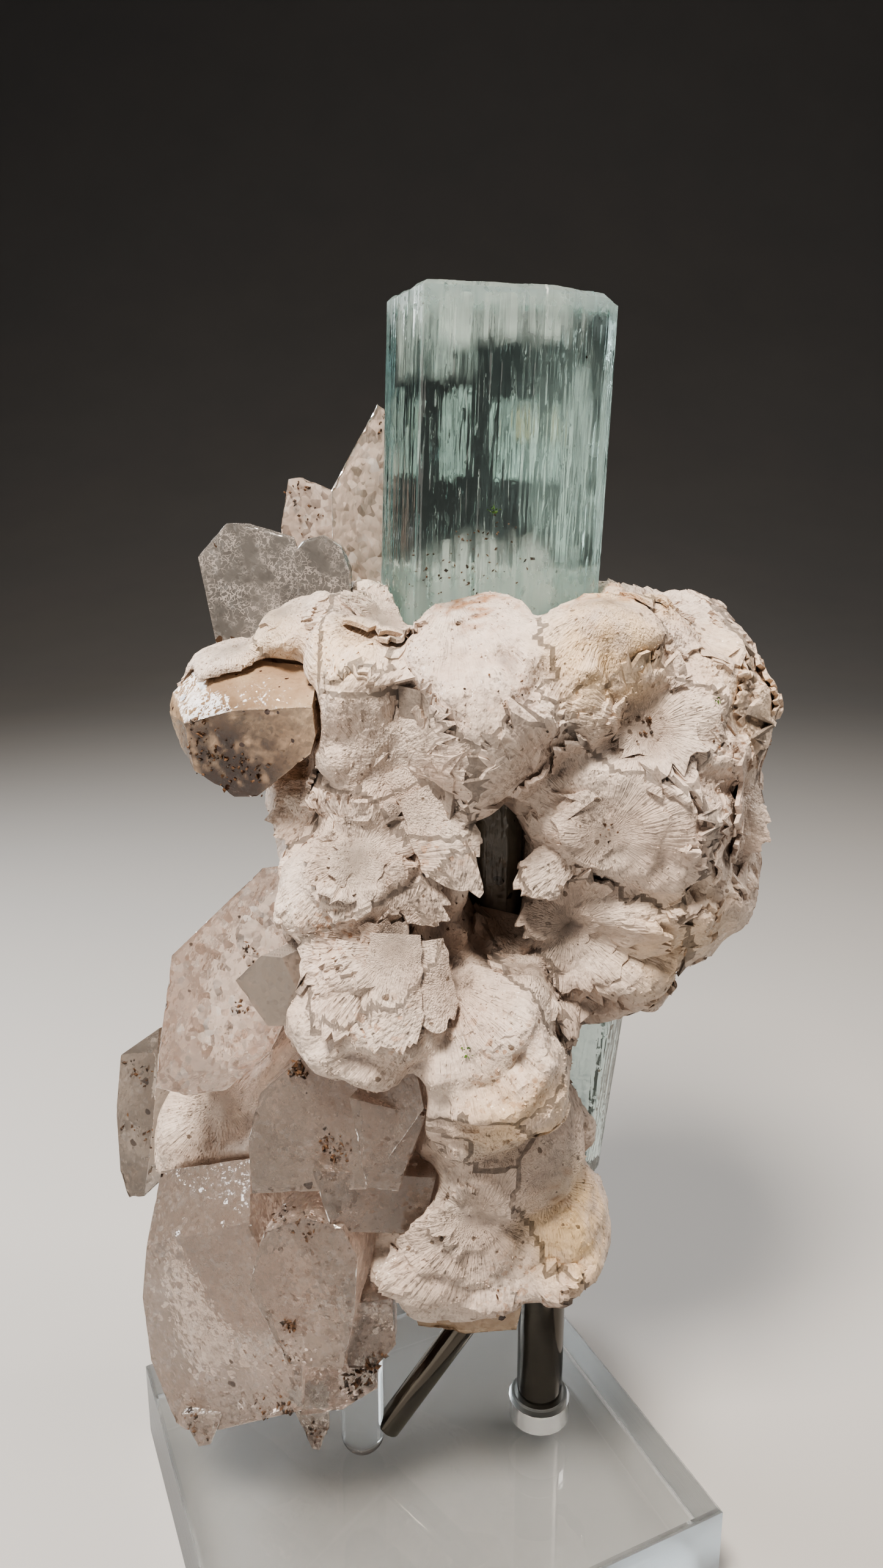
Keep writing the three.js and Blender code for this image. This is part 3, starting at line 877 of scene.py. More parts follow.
@dataclass(frozen=True)
class CrystalFinish:
    """A clear or cloudy crystal: its body colour, its clearness, what its faces show and its painted
    glints.
    """

    name: str
    body: Colour
    cloud: Colour
    transmission: float
    ior: float
    absorbed: Colour
    density: float
    smooth: float = 0.06
    rough: float = 0.35
    cloud_scale: float = 220.0
    cloud_low: float = 0.42
    cloud_high: float = 0.66
    line_turn: Point = (0.0, 0.0, 0.0)
    line_stretch: Point = (1.0, 1.0, 0.03)
    line_scale: float = 2600.0
    line_depth: float = 0.02
    pit_depth: float = 0.03
    pit_scale: float = 2200.0
    soil_scale: float = 800.0
    soil_share: float = 0.05
    soil_size: float = 0.3
    soil: Colour = (0.07, 0.045, 0.03)
    stained: Colour = (0.085, 0.035, 0.03)
    coat: float = 0.0
    glitter_scale: float = 2600.0
    glitter_share: float = 0.3
    glitter_tilt: float = 0.2
    web_scale: float = 260.0
    web_width: float = 0.0
    web: Colour = (0.8, 0.77, 0.75)
    # painted highlight: how strongly near-white glint patches are mixed into the base colour, and their
    # colour
    painted_glint: float = 0.0
    painted_glint_colour: Colour = (0.98, 0.94, 0.91)

    def material(self, effects: Effects) -> Material:
        """Build the material.

        Args:
            effects: The shared effects.

        Returns:
            The material, which reads the tones frost and stain.
        """
        material, sheet, shader, output = new_material(self.name)
        cloud = sheet.effect(
            effects.cloud, Scale=self.cloud_scale, Low=self.cloud_low, High=self.cloud_high
        )["Mask"]
        pits = sheet.effect(effects.sugar, Scale=self.pit_scale, Glints=0.2)
        lines = sheet.effect(
            effects.lines, Turn=self.line_turn, Stretch=self.line_stretch, Scale=self.line_scale
        )["Height"]
        soil = sheet.effect(
            effects.specks, Scale=self.soil_scale, Share=self.soil_share, Size=self.soil_size
        )["Mask"]
        glitter = sheet.effect(
            effects.glitter, Scale=self.glitter_scale, Share=self.glitter_share, Tilt=self.glitter_tilt
        )
        misty = sheet.math("MAXIMUM", sheet.times(cloud, 0.75), sheet.tone("frost"))
        colour = sheet.mix(misty, self.body, self.cloud)
        if self.web_width:
            web = sheet.effect(effects.web, Scale=self.web_scale, Width=self.web_width)["Mask"]
            broken = sheet.effect(effects.cloud, Scale=520.0, Low=0.36, High=0.6)["Mask"]
            colour = sheet.mix(sheet.times(web, broken), colour, self.web)
        # painted highlight: near-white glints mixed into the base colour on a few grains, in patches
        if self.painted_glint:
            patches = sheet.effect(effects.cloud, Scale=330.0, Low=0.44, High=0.6)["Mask"]
            painted_glints = sheet.times(pits["Glint"], patches)
            colour = sheet.tint(colour, (painted_glints, self.painted_glint, self.painted_glint_colour))
        colour = sheet.tint(colour, (sheet.tone("stain"), 0.95, self.stained))
        colour = sheet.mix(soil, colour, self.soil)
        clearness = sheet.span(misty, 0.0, 1.0, self.smooth, self.rough)
        glinting = sheet.times(glitter["Mask"], clearness)
        lined = sheet.bump(lines, self.line_depth, normal=glitter["Normal"])
        sheet.fill(shader, {
            "Base Color": colour,
            "Roughness": sheet.math("SUBTRACT", clearness, sheet.times(glinting, 0.6)),
            "Normal": sheet.bump(pits["Height"], self.pit_depth, normal=lined),
            "IOR": self.ior,
            "Transmission Weight": self.transmission,
            "Coat Weight": self.coat,
        })
        sheet.absorb(output, self.absorbed, self.density)
        return material


@dataclass(frozen=True)
class VeilFinish:
    """A milky veil or a warm patch sealed in clear crystal."""

    name: str
    colour: Colour
    low: float = 0.42
    high: float = 0.62
    thinnest: float = 0.1
    thickest: float = 0.8

    def material(self, effects: Effects) -> Material:
        """Build the material, drawn out in upright streaks that let the crystal show between them.

        Args:
            effects: The shared effects.

        Returns:
            The material, which reads the tone frost.
        """
        material, sheet, shader, _ = new_material(self.name)
        lines = sheet.effect(effects.lines, Stretch=(1.0, 1.0, 0.05), Scale=1500.0)["Height"]
        streaks = sheet.span(lines, self.low, self.high, self.thinnest, self.thickest)
        alpha = sheet.times(streaks, sheet.tone("frost"))
        sheet.fill(shader, {"Base Color": self.colour, "Roughness": 0.6, "Alpha": alpha})
        return material


@dataclass(frozen=True)
class MottledFinish:
    """A plain surface between two colours, with earthy grain or fine draw lines where they have a depth."""

    name: str
    first: Colour
    second: Colour
    mottle: Point
    roughness: Pair
    metallic: float = 0.0
    grain_depth: float = 0.0
    line_depth: float = 0.0

    def material(self, effects: Effects) -> Material:
        """Build the material, whose mottle is given as the scale, the low and the high of its patches.

        Args:
            effects: The shared effects.

        Returns:
            The material.
        """
        material, sheet, shader, _ = new_material(self.name)
        scale, low, high = self.mottle
        mottle = sheet.effect(effects.cloud, Scale=scale, Low=low, High=high)["Mask"]
        sheet.fill(shader, {
            "Base Color": sheet.mix(mottle, self.first, self.second),
            "Metallic": self.metallic,
            "Roughness": sheet.span(mottle, 0.0, 1.0, *self.roughness),
        })
        if self.grain_depth:
            grain = sheet.effect(effects.sugar, Scale=5200.0, Glints=0.05)["Height"]
            sheet.feed(shader.inputs["Normal"], sheet.bump(grain, self.grain_depth, 0.6))
        if self.line_depth:
            lines = sheet.effect(effects.lines, Stretch=(1.0, 1.0, 0.02), Scale=5200.0)["Height"]
            sheet.feed(shader.inputs["Normal"], sheet.bump(lines, self.line_depth, 0.3))
        return material


@dataclass(frozen=True)
class AcrylicFinish:
    """Clear acrylic with polished faces, frosted sawn edges and fine scuffs."""

    name: str
    body: Colour = (0.97, 0.985, 0.99)
    sawn: Colour = (0.90, 0.93, 0.95)
    absorbed: Colour = (0.80, 0.94, 0.96)
    density: float = 5.0
    frost: float = 0.42
    scuff: float = 0.16
    ior: float = 1.49

    def material(self, effects: Effects) -> Material:
        """Build the material.

        Args:
            effects: The shared effects.

        Returns:
            The material, which reads the tone frost on sawn faces.
        """
        material, sheet, shader, output = new_material(self.name)
        sawn = sheet.tone("frost")
        scuffs = sheet.effect(effects.lines, Turn=(0.0, 0.0, 0.7), Stretch=(1.0, 0.03, 1.0), Scale=900.0)
        scratch = sheet.times(sheet.span(scuffs["Height"], 0.62, 0.72), self.scuff)
        saw = sheet.effect(effects.lines, Turn=(0.0, 0.0, 0.45), Stretch=(0.1, 0.1, 1.0), Scale=2600.0)
        sheet.fill(shader, {
            "Base Color": sheet.mix(sawn, self.body, self.sawn),
            "Roughness": sheet.math("MAXIMUM", sheet.times(sawn, self.frost), scratch),
            "Normal": sheet.bump(sheet.times(saw["Height"], sawn), 0.05, 0.5),
            "IOR": self.ior,
            "Transmission Weight": 1.0,
        })
        sheet.absorb(output, self.absorbed, self.density)
        return material


PINK_APATITE = CrystalFinish(
    "pink_apatite", (0.83, 0.70, 0.62), (0.88, 0.77, 0.695), 0.84, 1.63, (0.80, 0.59, 0.46), 28.0,
    smooth=0.03, rough=0.2, pit_depth=0.07, pit_scale=1300.0, soil_share=0.06,
    glitter_tilt=0.8, glitter_scale=1300.0, glitter_share=0.55, painted_glint=1.2,
)

SOIL = MottledFinish(
    "soil", (0.025, 0.016, 0.011), (0.13, 0.065, 0.03), (1800.0, 0.4, 0.62), (0.55, 0.8), grain_depth=0.06
)

FINISHES = (
    AlbiteFinish(),
    PINK_APATITE,
    replace(PINK_APATITE, name="upper_apatite", transmission=0.62, painted_glint=1.0),
    CrystalFinish(
        "grey_apatite", (0.60, 0.525, 0.46), (0.64, 0.565, 0.50), 0.88, 1.63, (0.58, 0.49, 0.42), 85.0,
        smooth=0.03, rough=0.2, pit_depth=0.04, soil_share=0.14, soil_size=0.38, painted_glint=0.4,
    ),
    CrystalFinish(
        "etched_apatite", (0.74, 0.645, 0.575), (0.79, 0.70, 0.635), 0.87, 1.63, (0.72, 0.56, 0.48), 38.0,
        smooth=0.03, rough=0.22, pit_depth=0.06, pit_scale=2300.0, line_turn=(0.0, 0.5, 0.0),
        line_stretch=(1.0, 1.0, 0.22), line_scale=2400.0, line_depth=0.05, soil_share=0.05,
        glitter_scale=1900.0, glitter_share=0.45, glitter_tilt=0.6, painted_glint=0.6,
    ),
    CrystalFinish(
        "brown_apatite", (0.50, 0.35, 0.235), (0.66, 0.50, 0.35), 0.4, 1.63, (0.66, 0.42, 0.30), 55.0,
        smooth=0.1, rough=0.36, cloud_low=0.46, cloud_high=0.6, pit_depth=0.06, soil_share=0.35,
        glitter_tilt=0.4, soil=(0.06, 0.028, 0.02), stained=(0.028, 0.010, 0.008),
    ),
    CrystalFinish(
        "grey_hexagon", (0.46, 0.40, 0.355), (0.52, 0.46, 0.42), 0.6, 1.63, (0.6, 0.5, 0.42), 60.0,
        smooth=0.08, rough=0.3, pit_depth=0.04, soil_share=0.1, glitter_tilt=0.35,
        stained=(0.10, 0.05, 0.025),
    ),
    CrystalFinish(
        "mica", (0.11, 0.105, 0.10), (0.22, 0.205, 0.195), 0.15, 1.58, (0.6, 0.56, 0.54), 60.0,
        smooth=0.16, rough=0.3, cloud_scale=260.0, cloud_low=0.36, cloud_high=0.7,
        line_turn=(0.0, 0.9, 0.0), line_stretch=(1.0, 0.4, 0.14), line_scale=1500.0, line_depth=0.09,
        pit_depth=0.02, soil_share=0.1, soil_size=0.34, coat=0.5, web_width=0.07, web_scale=1250.0,
        web=(0.38, 0.345, 0.325),
    ),
    CrystalFinish(
        "aquamarine", (0.95, 0.99, 0.985), (0.93, 0.98, 0.975), 1.0, 1.575, (0.40, 0.90, 0.88), 19.0,
        smooth=0.012, rough=0.42, cloud_low=0.62, cloud_high=0.82, line_depth=0.03, pit_depth=0.006,
        soil_share=0.02, soil_size=0.2, glitter_share=0.1, glitter_tilt=0.12,
    ),
    CrystalFinish(
        "grey_aquamarine", (0.82, 0.88, 0.865), (0.80, 0.86, 0.845), 1.0, 1.575, (0.52, 0.66, 0.64), 95.0,
        smooth=0.03, rough=0.3, line_depth=0.05, pit_depth=0.01, soil_share=0.06, glitter_tilt=0.3,
    ),
    CrystalFinish(
        "smoky_crystal", (0.56, 0.53, 0.45), (0.60, 0.57, 0.50), 0.72, 1.57, (0.42, 0.43, 0.33), 20.0,
        rough=0.3, line_depth=0.08, pit_depth=0.02, soil_share=0.2, soil_size=0.4, glitter_tilt=0.3,
    ),
    VeilFinish("milky_veil", (0.82, 0.86, 0.82)),
    VeilFinish("warm_veil", (0.80, 0.66, 0.46)),
    SOIL,
    replace(SOIL, name="green_film", first=(0.02, 0.06, 0.008), second=(0.10, 0.20, 0.03)),
    MottledFinish(
        "polished_steel", (0.08, 0.072, 0.062), (0.075, 0.068, 0.058), (260.0, 0.45, 0.75), (0.08, 0.24),
        metallic=1.0, line_depth=0.01,
    ),
    AcrylicFinish("clear_acrylic"),
    AcrylicFinish("frosted_acrylic", sawn=(0.86, 0.86, 0.85)),
    MottledFinish("pale_floor", (0.47, 0.46, 0.45), (0.44, 0.435, 0.43), (14.0, 0.3, 0.7), (0.5, 0.62)),
)


def dress(piece: Piece, material: Material, slot: str, *nodes: str) -> None:
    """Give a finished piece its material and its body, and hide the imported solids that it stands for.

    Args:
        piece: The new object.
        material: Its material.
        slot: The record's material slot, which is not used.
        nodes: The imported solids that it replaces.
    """
    piece.data.materials.append(material)
    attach(piece, BODY)
    if nodes:
        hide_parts(*nodes)
    log.info("%s: %d triangles", piece.name, len(piece.data.polygons))


class Growth(Enum):
    """How a fan of albite is grown: its ledge height and its rib height, as shares of the usual."""

    RIBBED = (0.45, 1.5)
    LEDGED = (1.0, 0.8)
    SMOOTH = (0.35, 0.5)
    SHELL = (1.25, 0.6)


@dataclass(frozen=True)
class Fan:
    """One fan of albite plates: where its plates spring from, how far they reach and how they grow."""

    at: Point
    reach: float
    growth: Growth = Growth.LEDGED


class Stain(Enum):
    """What colours a patch of albite."""

    CREAM = "cream"
    RUST = "rust"
    TAN = "tan"


@dataclass(frozen=True)
class Patch:
    """A stained patch of albite."""

    at: Point
    reach: float
    strength: float = 1.0


ALBITE_FANS = (
    Fan((7.6, -3.0, 101.5), 12, Growth.RIBBED),
    Fan((1.0, -2.0, 100.0), 9),
    Fan((22.0, -5.0, 100.5), 9, Growth.SMOOTH),
    Fan((25.2, -7.1, 89.4), 8),
    Fan((27.0, 4.0, 98.0), 13, Growth.SHELL),
    Fan((21.6, -10.8, 80.2), 11),
    Fan((30.0, 2.0, 80.0), 13, Growth.SHELL),
    Fan((19.0, -7.0, 70.0), 10),
    Fan((2.0, -6.0, 86.0), 8),
    Fan((3.0, -8.0, 82.0), 6, Growth.SHELL),
    Fan((-3.0, 0.0, 82.0), 8, Growth.SHELL),
    Fan((-1.4, -11.9, 78.0), 9),
    Fan((2.4, -15.0, 71.0), 9, Growth.SHELL),
    Fan((6.6, -13.0, 67.0), 12, Growth.RIBBED),
    Fan((15.0, -10.0, 67.0), 7),
    Fan((12.0, -12.0, 50.0), 8, Growth.SHELL),
    Fan((16.9, -13.0, 46.0), 10, Growth.RIBBED),
    Fan((10.0, -15.0, 43.0), 11),
    Fan((-17.0, -2.0, 48.0), 11, Growth.SMOOTH),
    Fan((-9.0, 0.0, 99.0), 9),
    Fan((-14.0, 0.0, 97.0), 8, Growth.SMOOTH),
    Fan((20.0, 27.0, 88.0), 17, Growth.SHELL),
    Fan((6.0, 24.0, 66.0), 16),
    Fan((-6.0, 21.0, 44.0), 15, Growth.SHELL),
    Fan((38.0, 12.0, 88.0), 15),
    Fan((20.0, 12.0, 64.0), 14, Growth.SHELL),
)

ALBITE_PATCHES = {
    Stain.CREAM: (
        Patch((21.7, -8.6, 97.0), 7.5, 0.75),
        Patch((21.0, -13.0, 40.0), 7.5),
        Patch((14.0, -17.5, 55.0), 7.0, 0.55),
        Patch((24.0, 0.0, 101.5), 7.0, 0.7),
        Patch((36.0, 0.0, 92.0), 9.0, 0.35),
        Patch((-2.5, -7.4, 97.6), 6.0, 0.45),
        Patch((30.0, -7.0, 68.0), 8.0, 0.4),
        Patch((-9.4, -2.0, 97.0), 5.0, 0.4),
    ),
    Stain.RUST: (
        Patch((9.5, -4.2, 101.6), 5.4, 0.9),
        Patch((22.5, 0.5, 102.0), 6.0, 1.0),
        Patch((18.2, -13.8, 44.4), 3.5, 0.6),
        Patch((20.7, -8.7, 98.0), 2.2, 0.5),
        Patch((13.3, -6.0, 66.5), 4.0, 0.6),
    ),
    Stain.TAN: (
        Patch((-3.7, -13.7, 71.7), 4.0, 0.9),
        Patch((1.5, -18.3, 64.2), 4.0, 0.9),
        Patch((11.8, -18.5, 61.0), 6.5, 0.7),
        Patch((6.5, -10.8, 79.0), 4.0, 0.8),
        Patch((34.3, -6.0, 84.0), 7.0, 0.6),
        Patch((12.0, -12.0, 92.0), 6.0, 0.35),
        Patch((15.0, -14.0, 34.0), 6.0, 0.6),
        Patch((30.0, 2.0, 101.0), 8.0, 0.4),
    ),
}


@dataclass(frozen=True)
class Flake:
    """A large free plate of albite: from its root to its tip, which way it faces, and its size."""

    root: Point
    tip: Point
    facing: Point
    width: float
    thickness: float = 0.8
    bow: float = 0.5


ALBITE_FLAKES = (
    Flake((4.6, -10.4, 84.6), (9.4, -13.0, 75.2), (0.15, -1.0, 0.2), 6.6, 1.1),
    Flake((2.0, -9.5, 86.0), (4.2, -11.0, 79.6), (-0.2, -1.0, 0.3), 5.0),
    Flake((0.5, -12.5, 77.5), (7.2, -12.6, 73.2), (0.1, -1.0, 0.5), 5.0, 0.9),
    Flake((-1.5, -15.2, 71.5), (-3.6, -18.6, 63.4), (-0.25, -1.0, 0.3), 4.6, 1.3),
    Flake((2.4, -15.8, 72.5), (1.8, -19.6, 62.0), (0.05, -1.0, 0.3), 6.0, 1.3),
    Flake((5.2, -14.8, 71.5), (6.4, -17.9, 63.4), (0.35, -1.0, 0.25), 4.6, 1.1),
    Flake((-0.5, -12.6, 79.0), (-3.2, -15.0, 73.2), (-0.3, -1.0, 0.4), 5.2, 1.0),
    Flake((-2.0, -3.6, 82.5), (-10.4, -3.9, 78.6), (-0.1, -1.0, 0.35), 7.6, 0.7, 0.9),
    Flake((-1.5, -5.6, 84.6), (-7.2, -5.4, 81.6), (0.0, -1.0, 0.6), 3.4, 0.7),
    Flake((19.0, -8.4, 79.0), (14.0, -10.6, 74.2), (-0.25, -1.0, 0.2), 4.8, 1.0),
    Flake((19.0, -6.4, 72.8), (14.4, -8.6, 69.4), (-0.25, -1.0, 0.1), 4.4, 0.9),
    Flake((33.0, -3.4, 82.0), (39.6, -2.2, 77.0), (0.5, -1.0, 0.1), 5.6, 0.9),
    Flake((32.0, -4.4, 76.0), (36.4, -3.4, 71.0), (0.4, -1.0, 0.0), 5.2, 0.9),
    Flake((26.0, -6.4, 70.0), (29.0, -7.4, 64.2), (0.2, -1.0, -0.1), 5.0, 0.9),
    Flake((33.5, -3.6, 90.0), (38.6, -1.6, 86.0), (0.6, -1.0, 0.2), 5.0, 0.9),
)


@dataclass
class AlbiteMatrix:
    """The white albite: an even skin over its solid, ledged and ribbed in fans, with plates and sugar."""

    fans: tuple[Fan, ...] = ALBITE_FANS
    coarse_voxel: float = 0.6
    fine_voxel: float = 0.515
    smoothing: int = 5
    border_pitch: float = 3.5
    border_ragged: float = 0.16
    lump_pitches: Pair = (7.5, 3.2)
    lump_height: float = 0.5
    crease_depth: float = 1.15
    crease_width: float = 0.07
    seam_width: float = 1.1
    seam_angle: float = math.radians(22)
    ledge_pitch: float = 4.4
    ledge_height: float = 1.05
    ledge_ragged: float = 0.4
    step_pitch: float = 1.9
    step_height: float = 0.42
    step_ragged: float = 0.5
    rib_pitches: Pair = (0.16, 0.085)
    rib_height: float = 0.12
    rib_start: float = 4.0
    grain_pitches: Pair = (0.8, 1.7)
    grain_height: float = 0.07
    overhang: float = 0.5
    wall_clearance: float = 0.9
    recess_rounds: int = 14
    recess_depth: float = 0.55
    plate_count: int = 500
    plate_rows: int = 8
    plate_columns: int = 11
    plate_length: float = 3.9
    plate_lift: float = 0.95
    plate_sunk: float = 0.2
    plate_thickness: float = 0.45
    plate_spare: float = 1.5
    flake_rows: int = 22
    sugar_count: int = 9000
    sugar_size: float = 0.1
    seed: int = 7

    def __post_init__(self) -> None:
        """Set up the noise, the random draws, and what the fans have as arrays."""
        self.noise = Noise(self.seed)
        self.draw = np.random.default_rng(self.seed)
        self.roots = np.array([fan.at for fan in self.fans])
        self.reaches = np.array([fan.reach for fan in self.fans])
        self.swings = np.sin(self.reaches * 9.0)
        self.growths = np.array([fan.growth.value for fan in self.fans])

    def from_fans(self, points: Array) -> tuple[Array, Array, Array]:
        """Find the fan that each point belongs to, by distance over reach with a ragged border.

        Args:
            points: Places as rows of three coordinates.

        Returns:
            Each point's fan number, its distance from the fan's root and its direction from there.
        """
        apart = points[:, None] - self.roots[None]
        far = np.linalg.norm(apart, axis=2)
        ragged = self.border_ragged * self.noise.layered(points, self.border_pitch, 2)
        number = np.argmin(far / self.reaches + ragged[:, None] * self.swings, axis=1)
        row = np.arange(len(points))
        return number, far[row, number], unit(apart[row, number])

    def away_from(self, crystals: Skin, skin: Skin) -> Array:
        """A share for each point of a skin, from 0 on the walls next to a crystal to 1 in the open."""
        return eased(crystals.distance_from(skin.points) / self.wall_clearance - 0.4)

    def creased(self, skin: Skin, away: Array) -> Skin:
        """Sink a crease where the solid's lobes meet and along the fans' borders.

        Args:
            skin: The surface.
            away: A share for each point, 0 on the walls next to a crystal.

        Returns:
            The creased surface.
        """
        far = np.linalg.norm(skin.points[:, None] - self.roots[None], axis=2) / self.reaches
        ragged = 0.05 * self.noise.layered(skin.points, 3.0, 2)
        nearest = np.partition(far, 1, axis=1)
        border = np.abs(nearest[:, 1] - nearest[:, 0] + ragged) / self.crease_width
        uneven = eased(0.5 + 0.9 * self.noise(skin.points + 23.0, 7.0))
        solid = Skin.of_node("albite_matrix").creases(self.seam_angle)
        seam = solid.distance_from(skin.points + 0.5 * self.noise(skin.points, 2.0)[:, None])
        depth = np.maximum(np.exp(-border), np.exp(-((seam / self.seam_width) ** 2))) * uneven
        return skin.moved(-(self.crease_depth * depth * away)[:, None] * skin.normals())

    def ledged(self, skin: Skin, pitch: float, height: float, ragged: float, away: Array) -> Skin:
        """Raise plates that climb to a ragged free edge and drop there.

        The height is a saw wave of the distance from the fan's root, shifted by noise, and the free edge is
        drawn outwards so that it overhangs.

        Args:
            skin: The surface.
            pitch: Distance from one free edge to the next.
            height: Height of a free edge.
            ragged: How far noise shifts an edge, in pitches.
            away: A share for each point, 0 on the walls next to a crystal.

        Returns:
            The ledged surface.
        """
        points, normals = skin.points, skin.normals()
        number, far, outward = self.from_fans(points)
        shift = self.noise.layered(points, 2.4 * pitch, 3) + 0.5 * self.noise(points + 31.0, 0.6 * pitch)
        climb = far / pitch + ragged * shift + number * 0.37
        saw = climb - np.floor(climb)
        arcs = eased(0.35 + 1.1 * self.noise.layered(points + 57.0, 3.2 * pitch, 2))
        size = height * self.growths[number, 0] * away * eased(far / pitch) * arcs
        tangent = laid_on(outward, normals)
        lift = size * (saw - 0.5)
        lean = self.overhang * size * saw**4
        return skin.moved(lift[:, None] * normals + lean[:, None] * tangent)

    def ribbed(self, skin: Skin, away: Array) -> Skin:
        """Add fine ribs that run out from each fan's root, and the sugar grain between them.

        A rib is noise of the direction from the root alone, so it is straight and widens as it runs out.

        Args:
            skin: The surface.
            away: A share for each point, 0 on the walls next to a crystal.

        Returns:
            The ribbed surface.
        """
        points = skin.points
        number, far, outward = self.from_fans(points)
        bent = outward + 0.05 * self.noise(points, 6.0)[:, None]
        wide, narrow = self.rib_pitches
        ribs = self.noise(bent + number[:, None], wide) + 0.6 * self.noise(bent - number[:, None], narrow)
        strength = self.rib_height * self.growths[number, 1] * eased(far / self.rib_start)
        fine, coarse = self.grain_pitches
        grain = self.noise(points, fine) + 1.4 * self.noise(points, coarse)
        rise = (strength * ribs + self.grain_height * grain) * away
        return skin.moved(rise[:, None] * skin.normals())

    def toned(self, skin: Skin) -> Skin:
        """Work out each point's tones: painted shade, as deep as the point lies in a recess, and its
        stains.

        Args:
            skin: The finished surface.

        Returns:
            The surface with its tones.
        """
        even = skin.smoothed(self.recess_rounds)
        sunk = ((even.points - skin.points) * skin.normals()).sum(axis=1)
        # painted shade: how far a point sinks below the smoothed surface darkens it
        skin.tones["recess_shade"] = eased((sunk - 0.02) / self.recess_depth)
        return self.stained(skin)

    def stained(self, skin: Skin) -> Skin:
        """Work out each point's stains, and its place in its fan for fine ribs and plates.

        A patch fades out from its middle, and its mask breaks it up: cream and tan by plain noise, rust
        into the thin bands where drawn-out noise crosses zero.

        Args:
            skin: The surface.

        Returns:
            The surface with these tones as well.
        """
        number, far, outward = self.from_fans(skin.points)
        skin.tones["fan"] = outward + 3.0 * number[:, None]
        skin.tones["climb"] = far + 0.5 * self.noise.layered(skin.points, 2.2, 2)
        patchy = 0.55 + 0.75 * self.noise.layered(skin.points, 2.6, 3)
        bands = np.abs(self.noise.layered(skin.points * (0.5, 0.5, 2.2), 2.4, 3))
        masks = {
            Stain.CREAM: np.clip(patchy + 0.25, 0, 1),
            Stain.RUST: eased((0.2 - bands) / 0.16),
            Stain.TAN: np.clip(patchy * 1.3, 0, 1),
        }
        for stain, mask in masks.items():
            shares = [
                patch.strength * eased(1.25 - np.linalg.norm(skin.points - patch.at, axis=1) / patch.reach)
                for patch in ALBITE_PATCHES[stain]
            ]
            skin.tones[stain.value] = np.max(shares, axis=0) * mask
        return skin

    def mass(self, crystals: Skin) -> tuple[Skin, Array]:
        """Build the albite's main skin.

        Args:
            crystals: Everything that the albite grows round.

        Returns:
            The skin, and how far each of its points is from the crystals.
        """
        skin = Skin.of_node("albite_matrix").evened(self.coarse_voxel).smoothed(self.smoothing)
        away = self.away_from(crystals, skin)
        broad, small = self.lump_pitches
        lumps = self.noise(skin.points, broad) + 0.55 * self.noise(skin.points, small)
        skin = skin.moved((self.lump_height * lumps * away)[:, None] * skin.normals())
        skin = self.creased(skin, away)
        skin = self.ledged(skin, self.ledge_pitch, self.ledge_height, self.ledge_ragged, away)
        skin = skin.evened(self.fine_voxel)
        away = self.away_from(crystals, skin)
        skin = self.ledged(skin, self.step_pitch, self.step_height, self.step_ragged, away)
        skin = self.ribbed(skin, away)
        return self.toned(skin), crystals.distance_from(skin.points)

    def chosen(self, skin: Skin, distance: Array, count: int, pitch: float, least: float) -> Array:
        """Choose places on the open skin, thicker in some patches than in others.

        Args:
            skin: The main skin.
            distance: Each point's distance from the crystals.
            count: How many to choose.
            pitch: How far apart the patches are.
            least: The least noise at which a place counts.

        Returns:
            The chosen points' numbers.
        """
        thick = self.noise.layered(skin.points + 17.0, pitch, 2) > least
        open_skin = np.flatnonzero((distance > self.wall_clearance) & thick)
        ordered = open_skin[np.lexsort(np.round(skin.points[open_skin], 2).T)]
        return self.draw.choice(ordered, min(count, len(ordered)), replace=False)

    def plates(self, skin: Skin, distance: Array) -> Skin:
        """Lay broad thin plates over the skin, each with a ragged free edge away from its fan's root.

        A plate is a grid of two parameters, its length and its width, laid on the smoothed skin. It rises
        from its sunk root to its free edge, and a second grid a thickness below closes it.

        Args:
            skin: The main skin.
            distance: Each point's distance from the crystals.

        Returns:
            The plates as one closed surface each, with the tones of the places that they grow on.
        """
        flaky = self.growths[self.from_fans(skin.points)[0], 0] > 0.5
        spare = np.where(flaky, self.plate_spare, np.inf)
        at = self.chosen(skin, distance - spare, self.plate_count, 7.0, -0.1)
        smooth = skin.smoothed(8)
        place, normal = smooth.points[at], smooth.normals()[at]
        _, _, outward = self.from_fans(place)
        along = laid_on(outward + 0.2 * self.draw.normal(size=outward.shape), normal)
        across = np.cross(normal, along)
        count, rows, columns = len(at), self.plate_rows, self.plate_columns
        grow = np.linspace(0, 1, rows)[None, :, None]
        wide = np.linspace(-1, 1, columns)[None, None, :]
        length = self.plate_length * np.exp(0.35 * self.draw.normal(size=(count, 1, 1)))
        tips = 1 - 0.22 * wide**2 + 0.14 * self.draw.normal(size=(count, 1, columns))
        forward = (grow * tips - 0.45) * length
        spread = self.draw.uniform(0.45, 0.8, (count, 1, 1))
        edges = 1 + 0.1 * self.draw.normal(size=(count, rows, 1))
        sideways = wide * spread * length * (0.55 + 0.45 * np.sqrt(grow)) * edges
        axes = [axis[:, None, None, :] for axis in (along, across, normal)]
        flat = place[:, None, None] + forward[..., None] * axes[0] + sideways[..., None] * axes[1]
        base = smooth.nearest_to((flat + 0.4 * axes[2]).reshape(-1, 3)).reshape(flat.shape)
        height = self.plate_lift * self.draw.uniform(0.4, 1.4, (count, 1, 1))
        lift = height * (eased(grow * 1.25 - 0.1) * (1 - 0.35 * wide**4)) - self.plate_sunk
        lift = lift + 0.06 * self.noise(base.reshape(-1, 3), 0.9).reshape(lift.shape)
        top = base + lift[..., None] * axes[2]
        bottom = top - self.plate_thickness * axes[2]
        points = np.stack([top, bottom], axis=1).reshape(count, -1, 3)
        plates = repeated(points, closed_grid(rows, columns)[:, ::-1])
        # plates take half the painted recess shade of the place that they grow on
        plates.tones["recess_shade"] = np.repeat(skin.tones["recess_shade"][at] / 2, 2 * rows * columns)
        return self.stained(plates)

